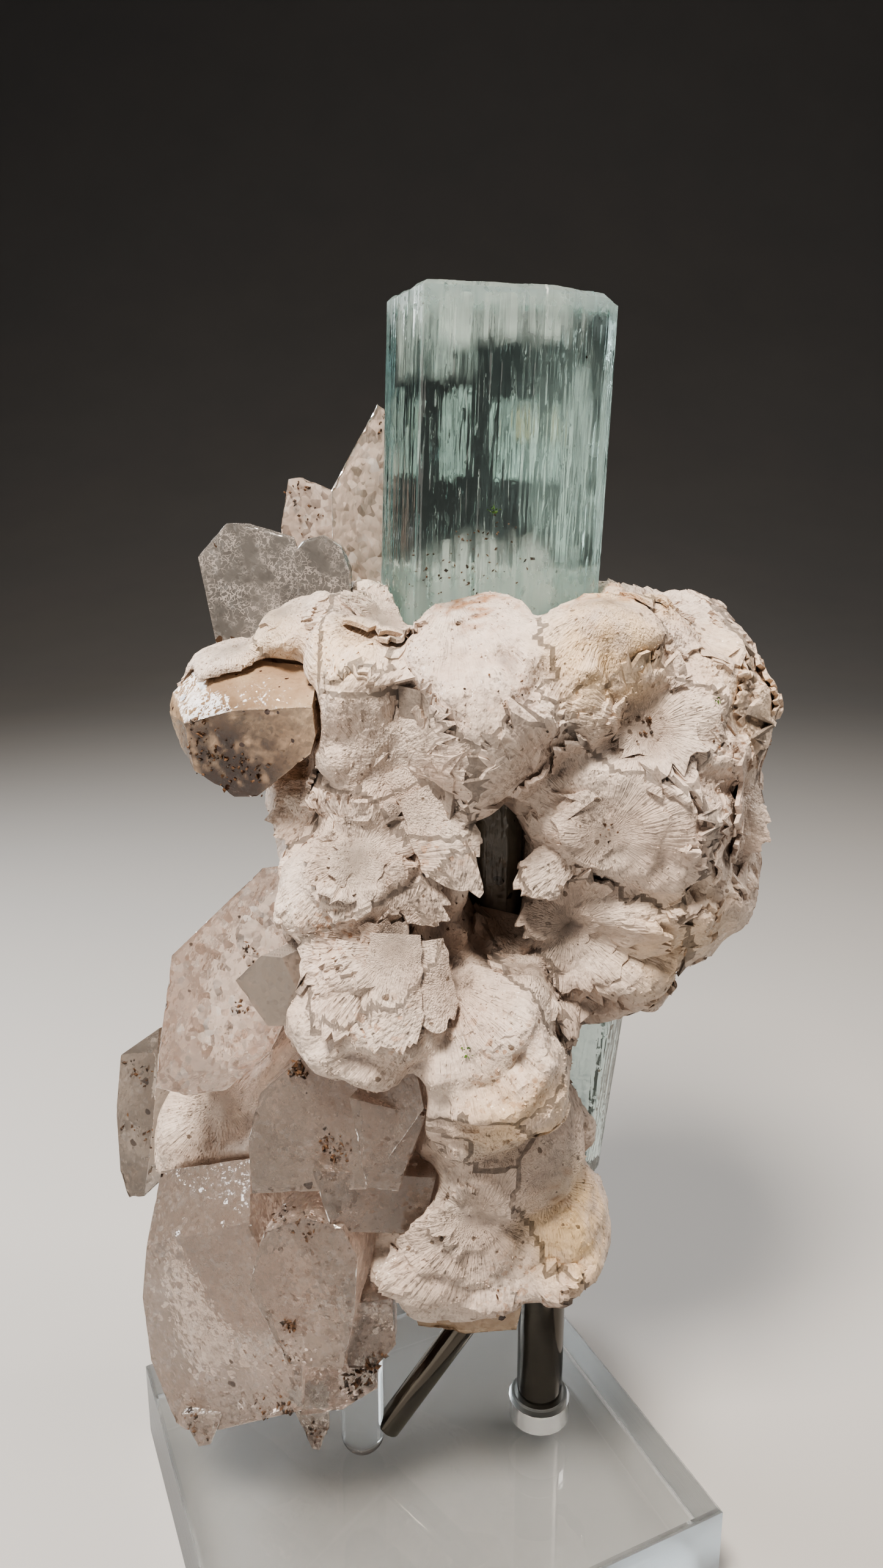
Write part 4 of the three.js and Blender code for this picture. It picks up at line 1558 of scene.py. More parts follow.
    def flake(self, flake: Flake) -> Skin:
        """Build one large plate that stands free of the mass.

        It is a grid of two parameters, along and across, with a round outline cut back in steps. Its face
        is bowed across, ribbed along and rough, and a second grid a thickness behind closes it.

        Args:
            flake: Its place and size.

        Returns:
            The closed plate.
        """
        rows = self.flake_rows
        grow, wide = np.meshgrid(np.linspace(0, 1, rows), np.linspace(-1, 1, rows), indexing="ij")
        root, tip = np.array(flake.root), np.array(flake.tip)
        along = unit(tip - root)
        facing = np.array(flake.facing)
        facing = unit(facing - (facing @ along) * along)
        across = np.cross(facing, along)
        spots = np.stack([wide * 3, grow * 5, np.full_like(wide, flake.width)], axis=-1).reshape(-1, 3)
        cut = stepped(self.noise(spots * (1, 0, 1) + root, 1.1))
        side = np.sign(wide).reshape(-1, 1) * 9
        side_cut = stepped(self.noise(spots * (0, 1, 1) + side + tip, 1.2))
        reach = 1 - 0.3 * wide**2 + 0.16 * cut.reshape(rows, rows) * grow
        spread = flake.width / 2 * (0.8 + 0.2 * grow) * (1 + 0.16 * side_cut.reshape(rows, rows))
        length = np.linalg.norm(tip - root)
        flat = root + (grow * reach * length)[..., None] * along + (wide * spread)[..., None] * across
        ribs = self.noise(spots * (1.4, 0.12, 1) + root, 0.4) + 0.6 * self.noise(spots + tip, 0.7)
        bow = -flake.bow * (wide**2 + 0.7 * (grow - 0.5) ** 2) + 0.07 * ribs.reshape(rows, rows)
        front = flat + bow[..., None] * facing
        back = front - flake.thickness * facing
        return Skin(np.stack([front, back]).reshape(-1, 3), closed_grid(rows, rows)[:, ::-1])

    def flakes(self) -> Skin:
        """The large free plates as one surface, toned as the mass is."""
        return self.toned(joined([self.flake(flake) for flake in ALBITE_FLAKES]))

    def sugar(self, skin: Skin, distance: Array) -> Skin:
        """Scatter blocky sugar grains in patches over the skin, half sunk in it.

        Args:
            skin: The main skin.
            distance: Each point's distance from the crystals.

        Returns:
            The grains as one surface, toned as the places that they lie on.
        """
        at = self.chosen(skin, distance, self.sugar_count, 4.0, 0.05)
        sizes = self.sugar_size * np.exp(0.4 * self.draw.normal(size=(len(at), 3)))
        sugar = grains(self.draw, skin.points[at], sizes)
        # grains take half the painted recess shade of the place that they lie on
        sugar.tones["recess_shade"] = np.repeat(skin.tones["recess_shade"][at] / 2, len(GRAIN_POINTS))
        return self.stained(sugar)

    def build(self, materials: Materials, crystals: Skin) -> Skin:
        """Make and dress the albite's pieces.

        Args:
            materials: The materials by name.
            crystals: Everything that the albite grows round.

        Returns:
            The main skin, for what is scattered on it.
        """
        skin, distance = self.mass(crystals)
        albite = materials["albite"]
        dress(skin.piece("albite"), albite, "albite", "albite_matrix")
        dress(self.plates(skin, distance).piece("albite_plates"), albite, "albite")
        dress(self.flakes().piece("albite_flakes"), albite, "albite")
        dress(self.sugar(skin, distance).piece("albite_sugar", smooth=False), albite, "albite")
        return skin


@dataclass
class EtchedCrystal:
    """A crystal with flat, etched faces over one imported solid, with worn and chipped edges."""

    node: str
    slot: str
    finish: str
    face_size: float = 0.42
    terrace: float = 0.1
    terrace_pitch: float = 3.0
    etch: float = 0.03
    etch_pitch: float = 0.7
    wear: float = 0.16
    wear_width: float = 0.5
    layers: float = 0.0
    layer_pitch: float = 0.5
    layer_axis: Point = (0.0, 1.0, 0.0)
    chip_pitch: float = 1.9
    mist_pitch: float = 6.0
    blotch_pitch: float = 1.8
    stain_at: Point = (0.0, 0.0, 0.0)
    stain_reach: float = 0.0
    frost: float = 0.0
    seed: int = 11

    def shape(self) -> Skin:
        """Work out the crystal's surface.

        The flat faces are refined and raised along their normals: terraces are noise cut into level steps,
        etching is fine noise, and worn edges sink by how near they are, more where noise chips them. The
        sides of a layered crystal also get a saw wave along its layer axis.

        Returns:
            The surface with its tones.
        """
        noise = Noise(self.seed)
        solid = Skin.of_node(self.node)
        skin = solid.refined(self.face_size)
        points, normals = skin.points, skin.normals()
        near = self.edge_distance(points, *solid.sharp_edges())
        level = stepped(noise.layered(points, self.terrace_pitch, 2))
        rise = self.terrace * (level - 0.4) + self.etch * noise.layered(points, self.etch_pitch, 2)
        inner = eased(near / self.wear_width)
        chips = np.clip(noise.layered(points + 5.0, self.chip_pitch, 2) * 1.6, 0.25, 1.6)
        rise = rise * inner - self.wear * chips * (1 - inner)
        if self.layers:
            axis = unit(np.array(self.layer_axis))
            depth = points @ axis / self.layer_pitch + 0.25 * noise(points, 2.5)
            side = eased(1.6 - 2.4 * np.abs(normals @ axis))
            rise = rise + self.layers * side * (np.abs(2 * (depth - np.floor(depth)) - 1) - 0.5)
        skin = skin.moved(rise[:, None] * normals)
        mist = np.clip(0.5 + noise.layered(points, self.mist_pitch, 2), 0, 1)
        skin.tones["frost"] = np.clip(self.frost * mist + 0.5 * (1 - inner), 0, 1)
        blotch = eased(0.9 + noise.layered(points, self.blotch_pitch, 3) * 1.1)
        from_stain = np.linalg.norm(points - self.stain_at, axis=1) / max(self.stain_reach, 1e-6)
        skin.tones["stain"] = blotch * eased(1.5 - from_stain)
        return skin

    @staticmethod
    def edge_distance(points: Array, starts: Array, ends: Array) -> Array:
        """How far each point is from the nearest of some straight edges.

        Args:
            points: Places as rows of three coordinates.
            starts: Each edge's start.
            ends: Each edge's end.

        Returns:
            One distance for each point.
        """
        nearest = np.full(len(points), np.inf)
        for start, end in zip(starts, ends):
            along = end - start
            share = np.clip((points - start) @ along / (along @ along), 0, 1)
            nearest = np.minimum(nearest, np.linalg.norm(points - start - share[:, None] * along, axis=1))
        return nearest

    def build(self, materials: Materials) -> Skin:
        """Make and dress the crystal.

        Args:
            materials: The materials by name.

        Returns:
            Its surface, for what is scattered on it.
        """
        skin = self.shape()
        dress(skin.piece(self.node + "_crystal"), materials[self.finish], self.slot, self.node)
        return skin


ETCHED_CRYSTALS = (
    EtchedCrystal(
        "apatite_upper", "pink_apatite", "upper_apatite", terrace=0.16, terrace_pitch=2.2, etch=0.06,
        wear=0.3, wear_width=0.8, frost=0.5, seed=21,
    ),
    EtchedCrystal(
        "mica_book", "mica", "mica", terrace=0.05, etch=0.015, wear=0.1, wear_width=0.3, layers=0.16,
        layer_pitch=0.55, layer_axis=(0.05, -1.0, 0.2), face_size=0.36, frost=0.25, seed=22,
    ),
    EtchedCrystal(
        "apatite_brown", "brown_apatite", "brown_apatite", terrace=0.12, etch=0.05, wear=0.22,
        wear_width=0.7, stain_at=(-14.6, -8.0, 84.4), stain_reach=7.4, frost=0.3, seed=23,
    ),
    EtchedCrystal(
        "apatite_left", "pink_apatite", "pink_apatite", terrace=0.13, terrace_pitch=2.6, etch=0.045,
        wear=0.22, frost=0.35, seed=24,
    ),
    EtchedCrystal(
        "small_hexagon", "brown_apatite", "grey_hexagon", face_size=0.32, terrace=0.05, etch=0.02, wear=0.1,
        stain_at=(-14.4, -12.4, 64.5), stain_reach=2.2, frost=0.4, layers=0.07, layer_pitch=0.4, seed=25,
    ),
    EtchedCrystal(
        "apatite_far_left", "grey_apatite", "grey_apatite", terrace=0.1, etch=0.04, frost=0.3, seed=26,
    ),
    EtchedCrystal(
        "apatite_lower", "etched_apatite", "etched_apatite", face_size=0.52, terrace=0.09,
        terrace_pitch=4.0, etch=0.04, etch_pitch=0.8, wear=0.2, wear_width=0.6, frost=0.3, seed=27,
    ),
    EtchedCrystal(
        "apatite_lumps", "brown_apatite", "brown_apatite", terrace=0.2, terrace_pitch=2.4, etch=0.08,
        wear=0.4, wear_width=1.2, frost=0.5, seed=28,
    ),
)


@dataclass
class StriatedPrism:
    """A clear prism with grooves along its length: a section carried along its axis."""

    node: str
    slot: str
    finish: str
    corners: tuple[Pair, ...]
    foot: float
    top: float
    turn: Array
    origin: Point
    sample: float = 0.13
    rows: int = 54
    groove: float = 0.1
    groove_pitches: Pair = (0.42, 0.21)
    step: float = 0.12
    step_pitch: float = 1.9
    corner_wear: float = 0.16
    corner_width: float = 0.22
    edge_break: float = 0.5
    cap_rings: int = 16
    cap_terrace: float = 0.07
    cap_pitch: float = 3.2
    frost_border: float = 2.5
    frost_top: float = 0.0
    frost_foot: float = 0.0
    seed: int = 31

    def outline(self) -> tuple[Array, Array, Array, Array]:
        """Sample the section's sides evenly.

        Returns:
            The points, the outward direction at each, how far each is round the section, and how far each
            is from the nearest corner.
        """
        corners = np.array(self.corners)
        side = np.roll(corners, -1, axis=0) - corners
        length = np.linalg.norm(side, axis=1)
        counts = np.maximum(np.round(length / self.sample).astype(int), 3)
        share = np.concatenate([np.arange(count) / count for count in counts])
        which = np.repeat(np.arange(len(corners)), counts)
        points = corners[which] + share[:, None] * side[which]
        outward = np.stack([side[:, 1], -side[:, 0]], axis=1)[which] / length[which][:, None]
        before = np.concatenate([[0], np.cumsum(length)[:-1]])
        along = share * length[which]
        return points, outward, before[which] + along, np.minimum(along, length[which] - along)

    def shape(self) -> Skin:
        """Work out the prism's surface.

        Its wall is the section at every height, pushed out by grooves and growth steps, which are noise
        drawn out along the length, and rounded near the corners. Its ends are the section drawn in to its
        middle, with etched terraces.

        Returns:
            The surface with its tones.
        """
        noise = Noise(self.seed)
        section, outward, round_it, from_corner = self.outline()
        middle = section.mean(axis=0)
        heights = np.linspace(self.foot, self.top - self.edge_break, self.rows)
        wall = np.stack([np.tile(round_it, self.rows), np.repeat(heights, len(section))], axis=1)
        drawn = np.stack([wall[:, 0], np.full(len(wall), 3.7), wall[:, 1] * 0.03], axis=1)
        broad, narrow = self.groove_pitches
        fine = -np.abs(noise(drawn, broad)) - 0.7 * np.abs(noise(drawn + 40.0, narrow))
        steps = stepped(noise(drawn * (1, 1, 0.7) + 80.0, self.step_pitch), 2.5)
        push = self.groove * fine + self.step * steps
        push = push - self.corner_wear * np.exp(-np.tile(from_corner, self.rows) / self.corner_width)
        flat = np.tile(section, (self.rows, 1)) + push[:, None] * np.tile(outward, (self.rows, 1))
        foot = self.cap(noise, flat[: len(section)], middle, self.foot)[::-1]
        top = self.cap(noise, flat[-len(section) :], middle, self.top)
        side = np.column_stack([flat, wall[:, 1]])
        local = np.vstack([foot.reshape(-1, 3), side, top.reshape(-1, 3)])
        count = len(local) // len(section)
        skin = Skin(local, grid_faces(count, len(section), ring=True)).welded()
        skin.tones["frost"] = self.frosted(noise, skin.points)
        skin.tones["stain"] = np.zeros(len(skin.points))
        skin.points = skin.points @ np.array(self.turn).T + np.array(self.origin)
        return skin

    def cap(self, noise: Noise, ring: Array, middle: Array, end: float) -> Array:
        """Draw a ring in to the middle as an end face.

        Args:
            noise: The noise of its terraces.
            ring: The wall's last ring, in the section's plane.
            middle: The section's middle.
            end: The end's height.

        Returns:
            The rings, one array each, from the rim inwards.
        """
        width = np.linalg.norm(ring - middle, axis=1, keepdims=True)
        chip = 1 + 1.3 * np.clip(noise(np.column_stack([ring, np.zeros(len(ring))]), 2.2), 0, 1)[:, None]
        broken = 1 - self.edge_break * chip / width
        shares = np.linspace(0, 1, self.cap_rings)
        flat = np.array([middle + (ring - middle) * broken * (1 - share) for share in shares])
        spots = np.concatenate([flat, np.full((*flat.shape[:2], 1), end)], axis=2)
        level = stepped(noise.layered(spots.reshape(-1, 3), self.cap_pitch, 3))
        rise = self.cap_terrace * (level.reshape(flat.shape[:2]) - 0.5)
        spots[..., 2] += rise * (1 if end == self.top else -1)
        return spots

    def frosted(self, noise: Noise, points: Array) -> Array:
        """How frosted each point is: towards the top and the foot, with a ragged border.

        Args:
            noise: What makes the border ragged.
            points: Places along the standing prism.

        Returns:
            One share for each point.
        """
        height = points[:, 2]
        ragged = 2.6 * noise.layered(points * (1, 1, 0.3), 1.6, 3)
        frost = np.zeros(len(points))
        if self.frost_top:
            frost = eased((self.frost_top - (self.top - height) + ragged) / self.frost_border)
        if self.frost_foot:
            frost = np.maximum(frost, eased((self.frost_foot - height + ragged) / self.frost_border))
        return frost

    def build(self, materials: Materials) -> Skin:
        """Make and dress the prism.

        Args:
            materials: The materials by name.

        Returns:
            Its surface, for what is scattered on it.
        """
        skin = self.shape()
        dress(skin.piece(self.node + "_prism"), materials[self.finish], self.slot, self.node)
        return skin


def hexagon(radius: float) -> tuple[Pair, ...]:
    """Six corners round the origin, the first on +X."""
    angles = np.arange(6) * math.pi / 3
    return tuple((radius * math.cos(angle), radius * math.sin(angle)) for angle in angles)


@dataclass(frozen=True)
class Veil:
    """A pale veil inside the tall prism: two corners, how hard its outline is, and whether it is warm."""

    low: Point
    high: Point
    hard: int
    warm: bool = False


@dataclass
class Aquamarines:
    """The tall prism with its veils, the lower prism and the dark one in the hollow."""

    section: tuple[Pair, ...] = (
        (1.0, 8.4), (4.8, -1.7), (16.8, -1.1), (22.2, 2.2),
        (23.6, 6.0), (21.0, 15.4), (9.5, 17.6), (3.2, 15.6),
    )
    foot: float = 91.0
    top: float = 129.6
    lean: float = math.radians(2)
    lower_foot: Point = (20.6, 4.5, 36.5)
    lower_top: Point = (23.2, 4.5, 60.0)
    lower_radius: float = 4.2
    inner_foot: Point = (12.2, 2.2, 62.0)
    inner_top: Point = (12.0, 2.2, 85.0)
    inner_radius: float = 3.0
    veils: tuple[Veil, ...] = (
        Veil((6.1, 13.4, 112.4), (8.9, 13.4, 121.1), 6),
        Veil((11.2, 13.8, 112.0), (16.4, 13.8, 120.4), 6),
        Veil((13.4, 13.2, 115.6), (16.0, 13.2, 119.8), 2, warm=True),
        Veil((3.0, 0.4, 93.0), (18.0, 0.4, 107.6), 2),
        Veil((2.4, 6.5, 92.0), (22.0, 6.5, 106.6), 2),
        Veil((3.4, 2.4, 123.6), (21.0, 2.4, 131.0), 2),
        Veil((2.6, 7.0, 120.6), (10.4, 7.0, 130.0), 2),
        Veil((14.0, 9.0, 102.0), (21.0, 9.0, 126.0), 2),
    )
    veil_rows: int = 26
    veil_columns: int = 16
    veil_half: float = 0.1
    veil_rim_half: float = 0.02
    veil_clearance: float = 0.9
    veil_pitch: float = 1.5
    veil_ragged: float = 0.16
    tall_frost_top: float = 3.6
    tall_frost_foot: float = 14.0
    tube_count: int = 130
    tube_spread: float = 0.82
    tube_radius: float = 0.03
    tube_heights: Pair = (104.0, 124.0)
    tube_halves: Pair = (0.8, 3.2)
    seed: int = 41

    def tall(self) -> StriatedPrism:
        """Lean the tall prism to its right about its top.

        Returns:
            The prism, not yet built.
        """
        sine, cosine = math.sin(self.lean), math.cos(self.lean)
        turn = np.array([[cosine, 0, sine], [0, 1, 0], [-sine, 0, cosine]])
        foot = self.foot - self.top
        return StriatedPrism(
            "aquamarine_tall", "aquamarine", "aquamarine", self.section, foot, 0.0, turn,
            (0.0, 0.0, self.top), frost_top=self.tall_frost_top, frost_foot=foot + self.tall_frost_foot,
            seed=self.seed,
        )

    def standing(self, names: tuple[str, ...], foot: Point, top: Point, radius: float) -> StriatedPrism:
        """Stand a six-sided prism on a foot.

        Args:
            names: Its node, its slot and its finish.
            foot: The middle of its foot.
            top: The middle of its top.
            radius: How far its corners are from its axis.

        Returns:
            The prism, not yet built.
        """
        axis = np.subtract(top, foot)
        return StriatedPrism(
            *names, hexagon(radius), 0.0, float(np.linalg.norm(axis)), frame_along(axis), foot,
            rows=40, sample=0.16, edge_break=0.25, cap_rings=6, groove=0.07, step=0.1, seed=self.seed + 1,
        )

    def veil(self, veil: Veil, noise: Noise) -> Skin:
        """A thin pale veil, as two grids that meet along a ragged outline below the prism's top.

        Args:
            veil: Its place and kind.
            noise: What makes its outline ragged.

        Returns:
            The closed veil, misty in its middle and thin at its rim.
        """
        rows, columns = self.veil_rows, self.veil_columns
        up, across = np.meshgrid(np.linspace(-1, 1, rows), np.linspace(-1, 1, columns), indexing="ij")
        flat = np.stack([across, np.zeros_like(up), up], axis=-1).reshape(-1, 3)
        size = (np.array(veil.high) - np.array(veil.low)) / 2
        points = np.array(veil.low) + size + flat * size
        ragged = noise.layered(points * (1.0, 1.0, 0.6), self.veil_pitch, 2)
        rim = np.maximum(np.abs(flat[:, 0]), np.abs(flat[:, 2]))
        points = points + (flat * size) * (self.veil_ragged * ragged * rim)[:, None]
        points[:, 2] = np.minimum(points[:, 2], self.top - self.veil_clearance)
        swell = (1 - np.abs(flat[:, 0]) ** veil.hard) * (1 - np.abs(flat[:, 2]) ** veil.hard)
        depth = np.array((0.0, 1.0, 0.0)) * (self.veil_half * swell + self.veil_rim_half)[:, None]
        skin = Skin(np.vstack([points - depth, points + depth]), closed_grid(rows, columns))
        skin.tones["frost"] = np.tile(eased(swell * (1.3 + 0.8 * ragged)), 2)
        return skin

    def tubes(self) -> Skin:
        """Scatter hair-thin growth tubes that run up inside the tall prism.

        Returns:
            The tubes as one surface.
        """
        draw = np.random.default_rng(self.seed)
        section = np.array(self.section)
        share = self.tube_spread * np.sqrt(draw.random(self.tube_count))[:, None]
        corner = draw.integers(0, len(section), self.tube_count)
        between = draw.random((self.tube_count, 1))
        rim = section[corner] * between + section[(corner + 1) % len(section)] * (1 - between)
        flat = section.mean(axis=0) * (1 - share) + rim * share
        height = draw.uniform(*self.tube_heights, self.tube_count)
        half = draw.uniform(*self.tube_halves, self.tube_count)
        tilt = (height - self.top) * math.tan(self.lean)
        places = np.column_stack([flat[:, 0] + tilt, flat[:, 1], height])
        sizes = np.column_stack([np.full((self.tube_count, 2), self.tube_radius), half])
        skin = repeated(places[:, None] + GRAIN_POINTS[None] * sizes[:, None], GRAIN_FACES)
        skin.tones["frost"] = np.ones(len(skin.points))
        return skin

    def build(self, materials: Materials) -> list[Skin]:
        """Make and dress the prisms, the veils and the tubes.

        Args:
            materials: The materials by name.

        Returns:
            The prisms' surfaces.
        """
        lower = ("aquamarine_lower", "aquamarine", "grey_aquamarine")
        inner = ("aquamarine_inner", "smoky_crystal", "smoky_crystal")
        prisms = (
            self.tall(),
            self.standing(lower, self.lower_foot, self.lower_top, self.lower_radius),
            self.standing(inner, self.inner_foot, self.inner_top, self.inner_radius),
        )
        skins = [prism.build(materials) for prism in prisms]
        noise = Noise(self.seed + 5)
        for number, veil in enumerate(self.veils, 1):
            material = materials["warm_veil" if veil.warm else "milky_veil"]
            dress(self.veil(veil, noise).piece(f"aquamarine_veil_{number}"), material, "aquamarine")
        tubes = self.tubes().piece("aquamarine_tubes", smooth=False)
        dress(tubes, materials["milky_veil"], "aquamarine")
        return skins


class Earth(Enum):
    """What a cluster of grains is, by the name of its finish."""

    SOIL = "soil"
    GREEN_FILM = "green_film"


@dataclass(frozen=True)
class Cluster:
    """A cluster of earthy grains: where it is, how far it spreads, how many there are and how large."""

    at: Point
    spread: float
    count: int
    size: float = 0.14


EARTH_CLUSTERS = {
    Earth.SOIL: (
        Cluster((-0.5, -14.0, 25.2), 1.6, 46, 0.2),
        Cluster((-2.1, -14.0, 23.2), 1.6, 34, 0.2),
        Cluster((-3.8, -15.1, 51.2), 1.5, 26, 0.17),
        Cluster((-3.1, -15.3, 50.0), 1.2, 16),
        Cluster((-9.3, -13.2, 42.2), 1.6, 18),
        Cluster((-6.5, -16.2, 43.4), 2.0, 22),
        Cluster((-8.4, -16.4, 32.1), 0.7, 14, 0.2),
        Cluster((-8.6, -16.4, 29.2), 1.4, 14),
        Cluster((-9.4, -15.4, 21.7), 1.1, 22, 0.22),
        Cluster((-12.0, -14.2, 20.2), 1.5, 16),
        Cluster((-19.4, -12.0, 15.4), 1.8, 16),
        Cluster((-7.0, -13.9, 58.1), 0.8, 34, 0.22),
        Cluster((-6.3, -13.7, 16.6), 1.4, 20, 0.16),
        Cluster((-14.7, -5.1, 85.7), 3.0, 70, 0.15),
        Cluster((-16.3, -5.2, 88.1), 2.2, 40),
        Cluster((-11.1, -5.9, 84.7), 2.0, 26),
        Cluster((0.3, 12.5, 118.3), 1.2, 12),
        Cluster((-9.4, 14.5, 111.5), 1.8, 22, 0.16),
        Cluster((-8.2, 14.2, 108.3), 2.0, 14),
        Cluster((-12.5, -5.5, 66.4), 0.9, 18, 0.2),
        Cluster((-13.4, -6.9, 61.1), 0.8, 14, 0.18),
        Cluster((-27.1, 2.2, 48.6), 2.0, 20, 0.18),
        Cluster((-27.6, 2.4, 42.0), 2.4, 18),
        Cluster((11.0, -1.4, 104.6), 4.2, 60, 0.11),
        Cluster((5.2, -1.6, 103.4), 2.6, 22, 0.12),
        Cluster((25.2, -7.1, 89.4), 1.4, 26, 0.16),
        Cluster((12.4, -14.4, 33.1), 1.6, 30, 0.18),
        Cluster((21.6, -10.8, 80.2), 1.1, 12),
        Cluster((34.3, -7.0, 86.0), 4.0, 30, 0.11),
        Cluster((7.0, -11.0, 72.0), 3.2, 26, 0.12),
        Cluster((-1.0, -6.0, 88.0), 4.0, 22, 0.1),
        Cluster((13.0, -13.0, 92.0), 6.0, 26, 0.09),
    ),
    Earth.GREEN_FILM: (
        Cluster((11.4, -1.5, 109.3), 0.5, 16, 0.09),
        Cluster((32.9, -6.4, 91.8), 0.9, 14, 0.13),
        Cluster((8.7, -17.8, 61.7), 0.7, 12, 0.11),
    ),
}


@dataclass
class EarthGrains:
    """Soil and green film that cling to the crystals and the albite."""

    float_off: float = 0.16
    size_spread: float = 0.45
    to_middle: float = 1.3
    seed: int = 51

    def scattered(self, earth: Earth, points: Array) -> Skin:
        """Set grains on the points of the surfaces near each cluster's middle.

        Args:
            earth: Which grains.
            points: Points of every surface that may carry them.

        Returns:
            The grains as one surface.
        """
        draw = np.random.default_rng(self.seed)
        places, sizes = [], []
        for cluster in EARTH_CLUSTERS[earth]:
            count = cluster.count
            far = np.linalg.norm(points - cluster.at, axis=1)
            within = np.count_nonzero(far < cluster.spread) or count
            near = np.argsort(far, kind="stable")[:within]
            picked = near[(len(near) * draw.random(count) ** self.to_middle).astype(int)]
            places.append(points[picked] + self.float_off * draw.normal(size=(count, 3)))
            sizes.append(cluster.size * np.exp(self.size_spread * draw.normal(size=(count, 3))))
        return grains(draw, np.vstack(places), np.vstack(sizes))

    def build(self, materials: Materials, skins: list[Skin]) -> None:
        """Make and dress the grains.

        Args:
            materials: The materials by name.
            skins: The surfaces that carry them.
        """
        points = np.vstack([skin.points for skin in skins])
        for earth in Earth:
            piece = self.scattered(earth, points).piece(f"{earth.value}_grains", smooth=False)
            dress(piece, materials[earth.value], "albite")


@dataclass
class Stand:
    """The clear block, the steel post in its milky socket, the clear peg and the slanted prong."""

    sides: int = 72
    post_at: Pair = (17.8, -1.6)
    post_radius: float = 2.6
    post_foot: float = 6.45
    post_top: float = 29.5
    post_round: float = 0.35
    cup_radius: float = 3.2
    cup_wall: float = 0.35
    cup_floor: float = 5.8
    cup_lip: float = 10.6
    lip_drops: Pair = (0.15, 0.1)
    lip_insets: Pair = (0.12, 0.08)
    hole_margin: float = 1.0
    side_slope: float = 0.3
    peg_at: Pair = (-2.0, -9.4)
    peg_radius: float = 2.35
    peg_foot: float = 10.3
    peg_top: float = 25.0
    peg_break: float = 0.2
    prong_radius: float = 1.4
    prong_cut: float = 0.9
    prong_round: float = 0.3
    prong_foot: Point = (0.1, -9.8, 12.6)
    prong_tip: Point = (11.6, -7.6, 29.0)

    def block(self) -> Skin:
        """Read the block's own solid and frost its sawn sides.

        Returns:
            The block.
        """
        skin = Skin.of_node("acrylic_block")
        normals = unit(skin.face_normals())
        middle = skin.points[skin.faces].mean(axis=1)
        from_post = np.linalg.norm(middle[:, :2] - self.post_at, axis=1)
        sawn = (np.abs(normals[:, 2]) < self.side_slope) & (from_post > self.cup_radius + self.hole_margin)
        side_points = np.zeros(len(skin.points), bool)
        side_points[skin.faces[sawn]] = True
        skin.tones["frost"] = np.where(side_points, 1.0, 0.0)
        return skin

    def upright(self, profile: list[Pair], at: Pair) -> Skin:
        """A turned piece that stands over a point of the block."""
        return turned_profile(profile, self.sides).moved(np.array((*at, 0.0)))

    @staticmethod
    def rounded(radius: float, foot: float, top: float, ease: float) -> list[Pair]:
        """Draw a bar's profile with its two ends eased by a quarter round.

        Args:
            radius: The bar's radius.
            foot: The height of its foot.
            top: The height of its top.
            ease: The radius of the quarter round.

        Returns:
            Radius and height, from the foot's middle to the top's.
        """
        turn = np.linspace(0, math.pi / 2, ROUND_STEPS)
        low = [(radius - ease + ease * math.sin(a), foot + ease * (1 - math.cos(a))) for a in turn]
        high = [(r, top + foot - z) for r, z in low[::-1]]
        return [(0.0, foot), *low, *high, (0.0, top)]

    def post(self) -> Skin:
        """The upright bar."""
        profile = self.rounded(self.post_radius, self.post_foot, self.post_top, self.post_round)
        return self.upright(profile, self.post_at)

    def cup(self) -> Skin:
        """Turn the socket's milky wall, a ring with a floor.

        Returns:
            The wall.
        """
        outer, inner = self.cup_radius, self.cup_radius - self.cup_wall
        low, lip = self.cup_floor, self.cup_lip
        floor = low + self.cup_wall
        (outer_drop, inner_drop), (outer_inset, inner_inset) = self.lip_drops, self.lip_insets
        profile = [
            (0.0, low), (outer, low), (outer, lip - outer_drop), (outer - outer_inset, lip),
            (inner + inner_inset, lip), (inner, lip - inner_drop), (inner, floor), (0.0, floor),
        ]
        skin = self.upright(profile, self.post_at)
        skin.tones["frost"] = np.ones(len(skin.points))
        return skin

    def peg(self) -> Skin:
        """Turn the clear peg, round at its foot.

        Returns:
            The peg.
        """
        turn = np.linspace(0, math.pi / 2, 2 * ROUND_STEPS)
        radius, foot, top, worn = self.peg_radius, self.peg_foot, self.peg_top, self.peg_break
        low = [(radius * math.sin(a), foot + radius * (1 - math.cos(a))) for a in turn]
        high = [(radius, top - worn), (radius - worn, top), (0.0, top)]
        skin = self.upright(low + high, self.peg_at)
        skin.tones["frost"] = np.zeros(len(skin.points))
        return skin

    def prong(self) -> Skin:
        """Turn the slanted bar, its foot cut back from the peg.

        Returns:
            The bar.
        """
        axis = np.subtract(self.prong_tip, self.prong_foot)
        length = float(np.linalg.norm(axis))
        profile = self.rounded(self.prong_radius, self.prong_cut, length, self.prong_round)
        skin = turned_profile(profile, self.sides)
        return Skin(skin.points @ frame_along(axis).T + self.prong_foot, skin.faces)

    def build(self, materials: Materials) -> None:
        """Make and dress the stand's pieces.

        Args:
            materials: The materials by name.
        """
        for skin, name, finish, node in (
            (self.block(), "clear_block", "clear_acrylic", "acrylic_block"),
            (self.post(), "steel_post", "polished_steel", "support_post"),
            (self.cup(), "post_socket_wall", "frosted_acrylic", "post_cup"),
            (self.peg(), "round_foot_peg", "clear_acrylic", "clear_peg"),
            (self.prong(), "slanted_bar", "polished_steel", "slanted_prong"),
        ):
            dress(skin.piece(name), materials[finish], finish, node)


@dataclass(frozen=True)
class Softbox:
    """A square soft light: where it is, where it looks, how wide and how strong it is, and its colour."""

    name: str
    at: Point
    aim: Point
    width: float
    watts: float
    colour: Colour


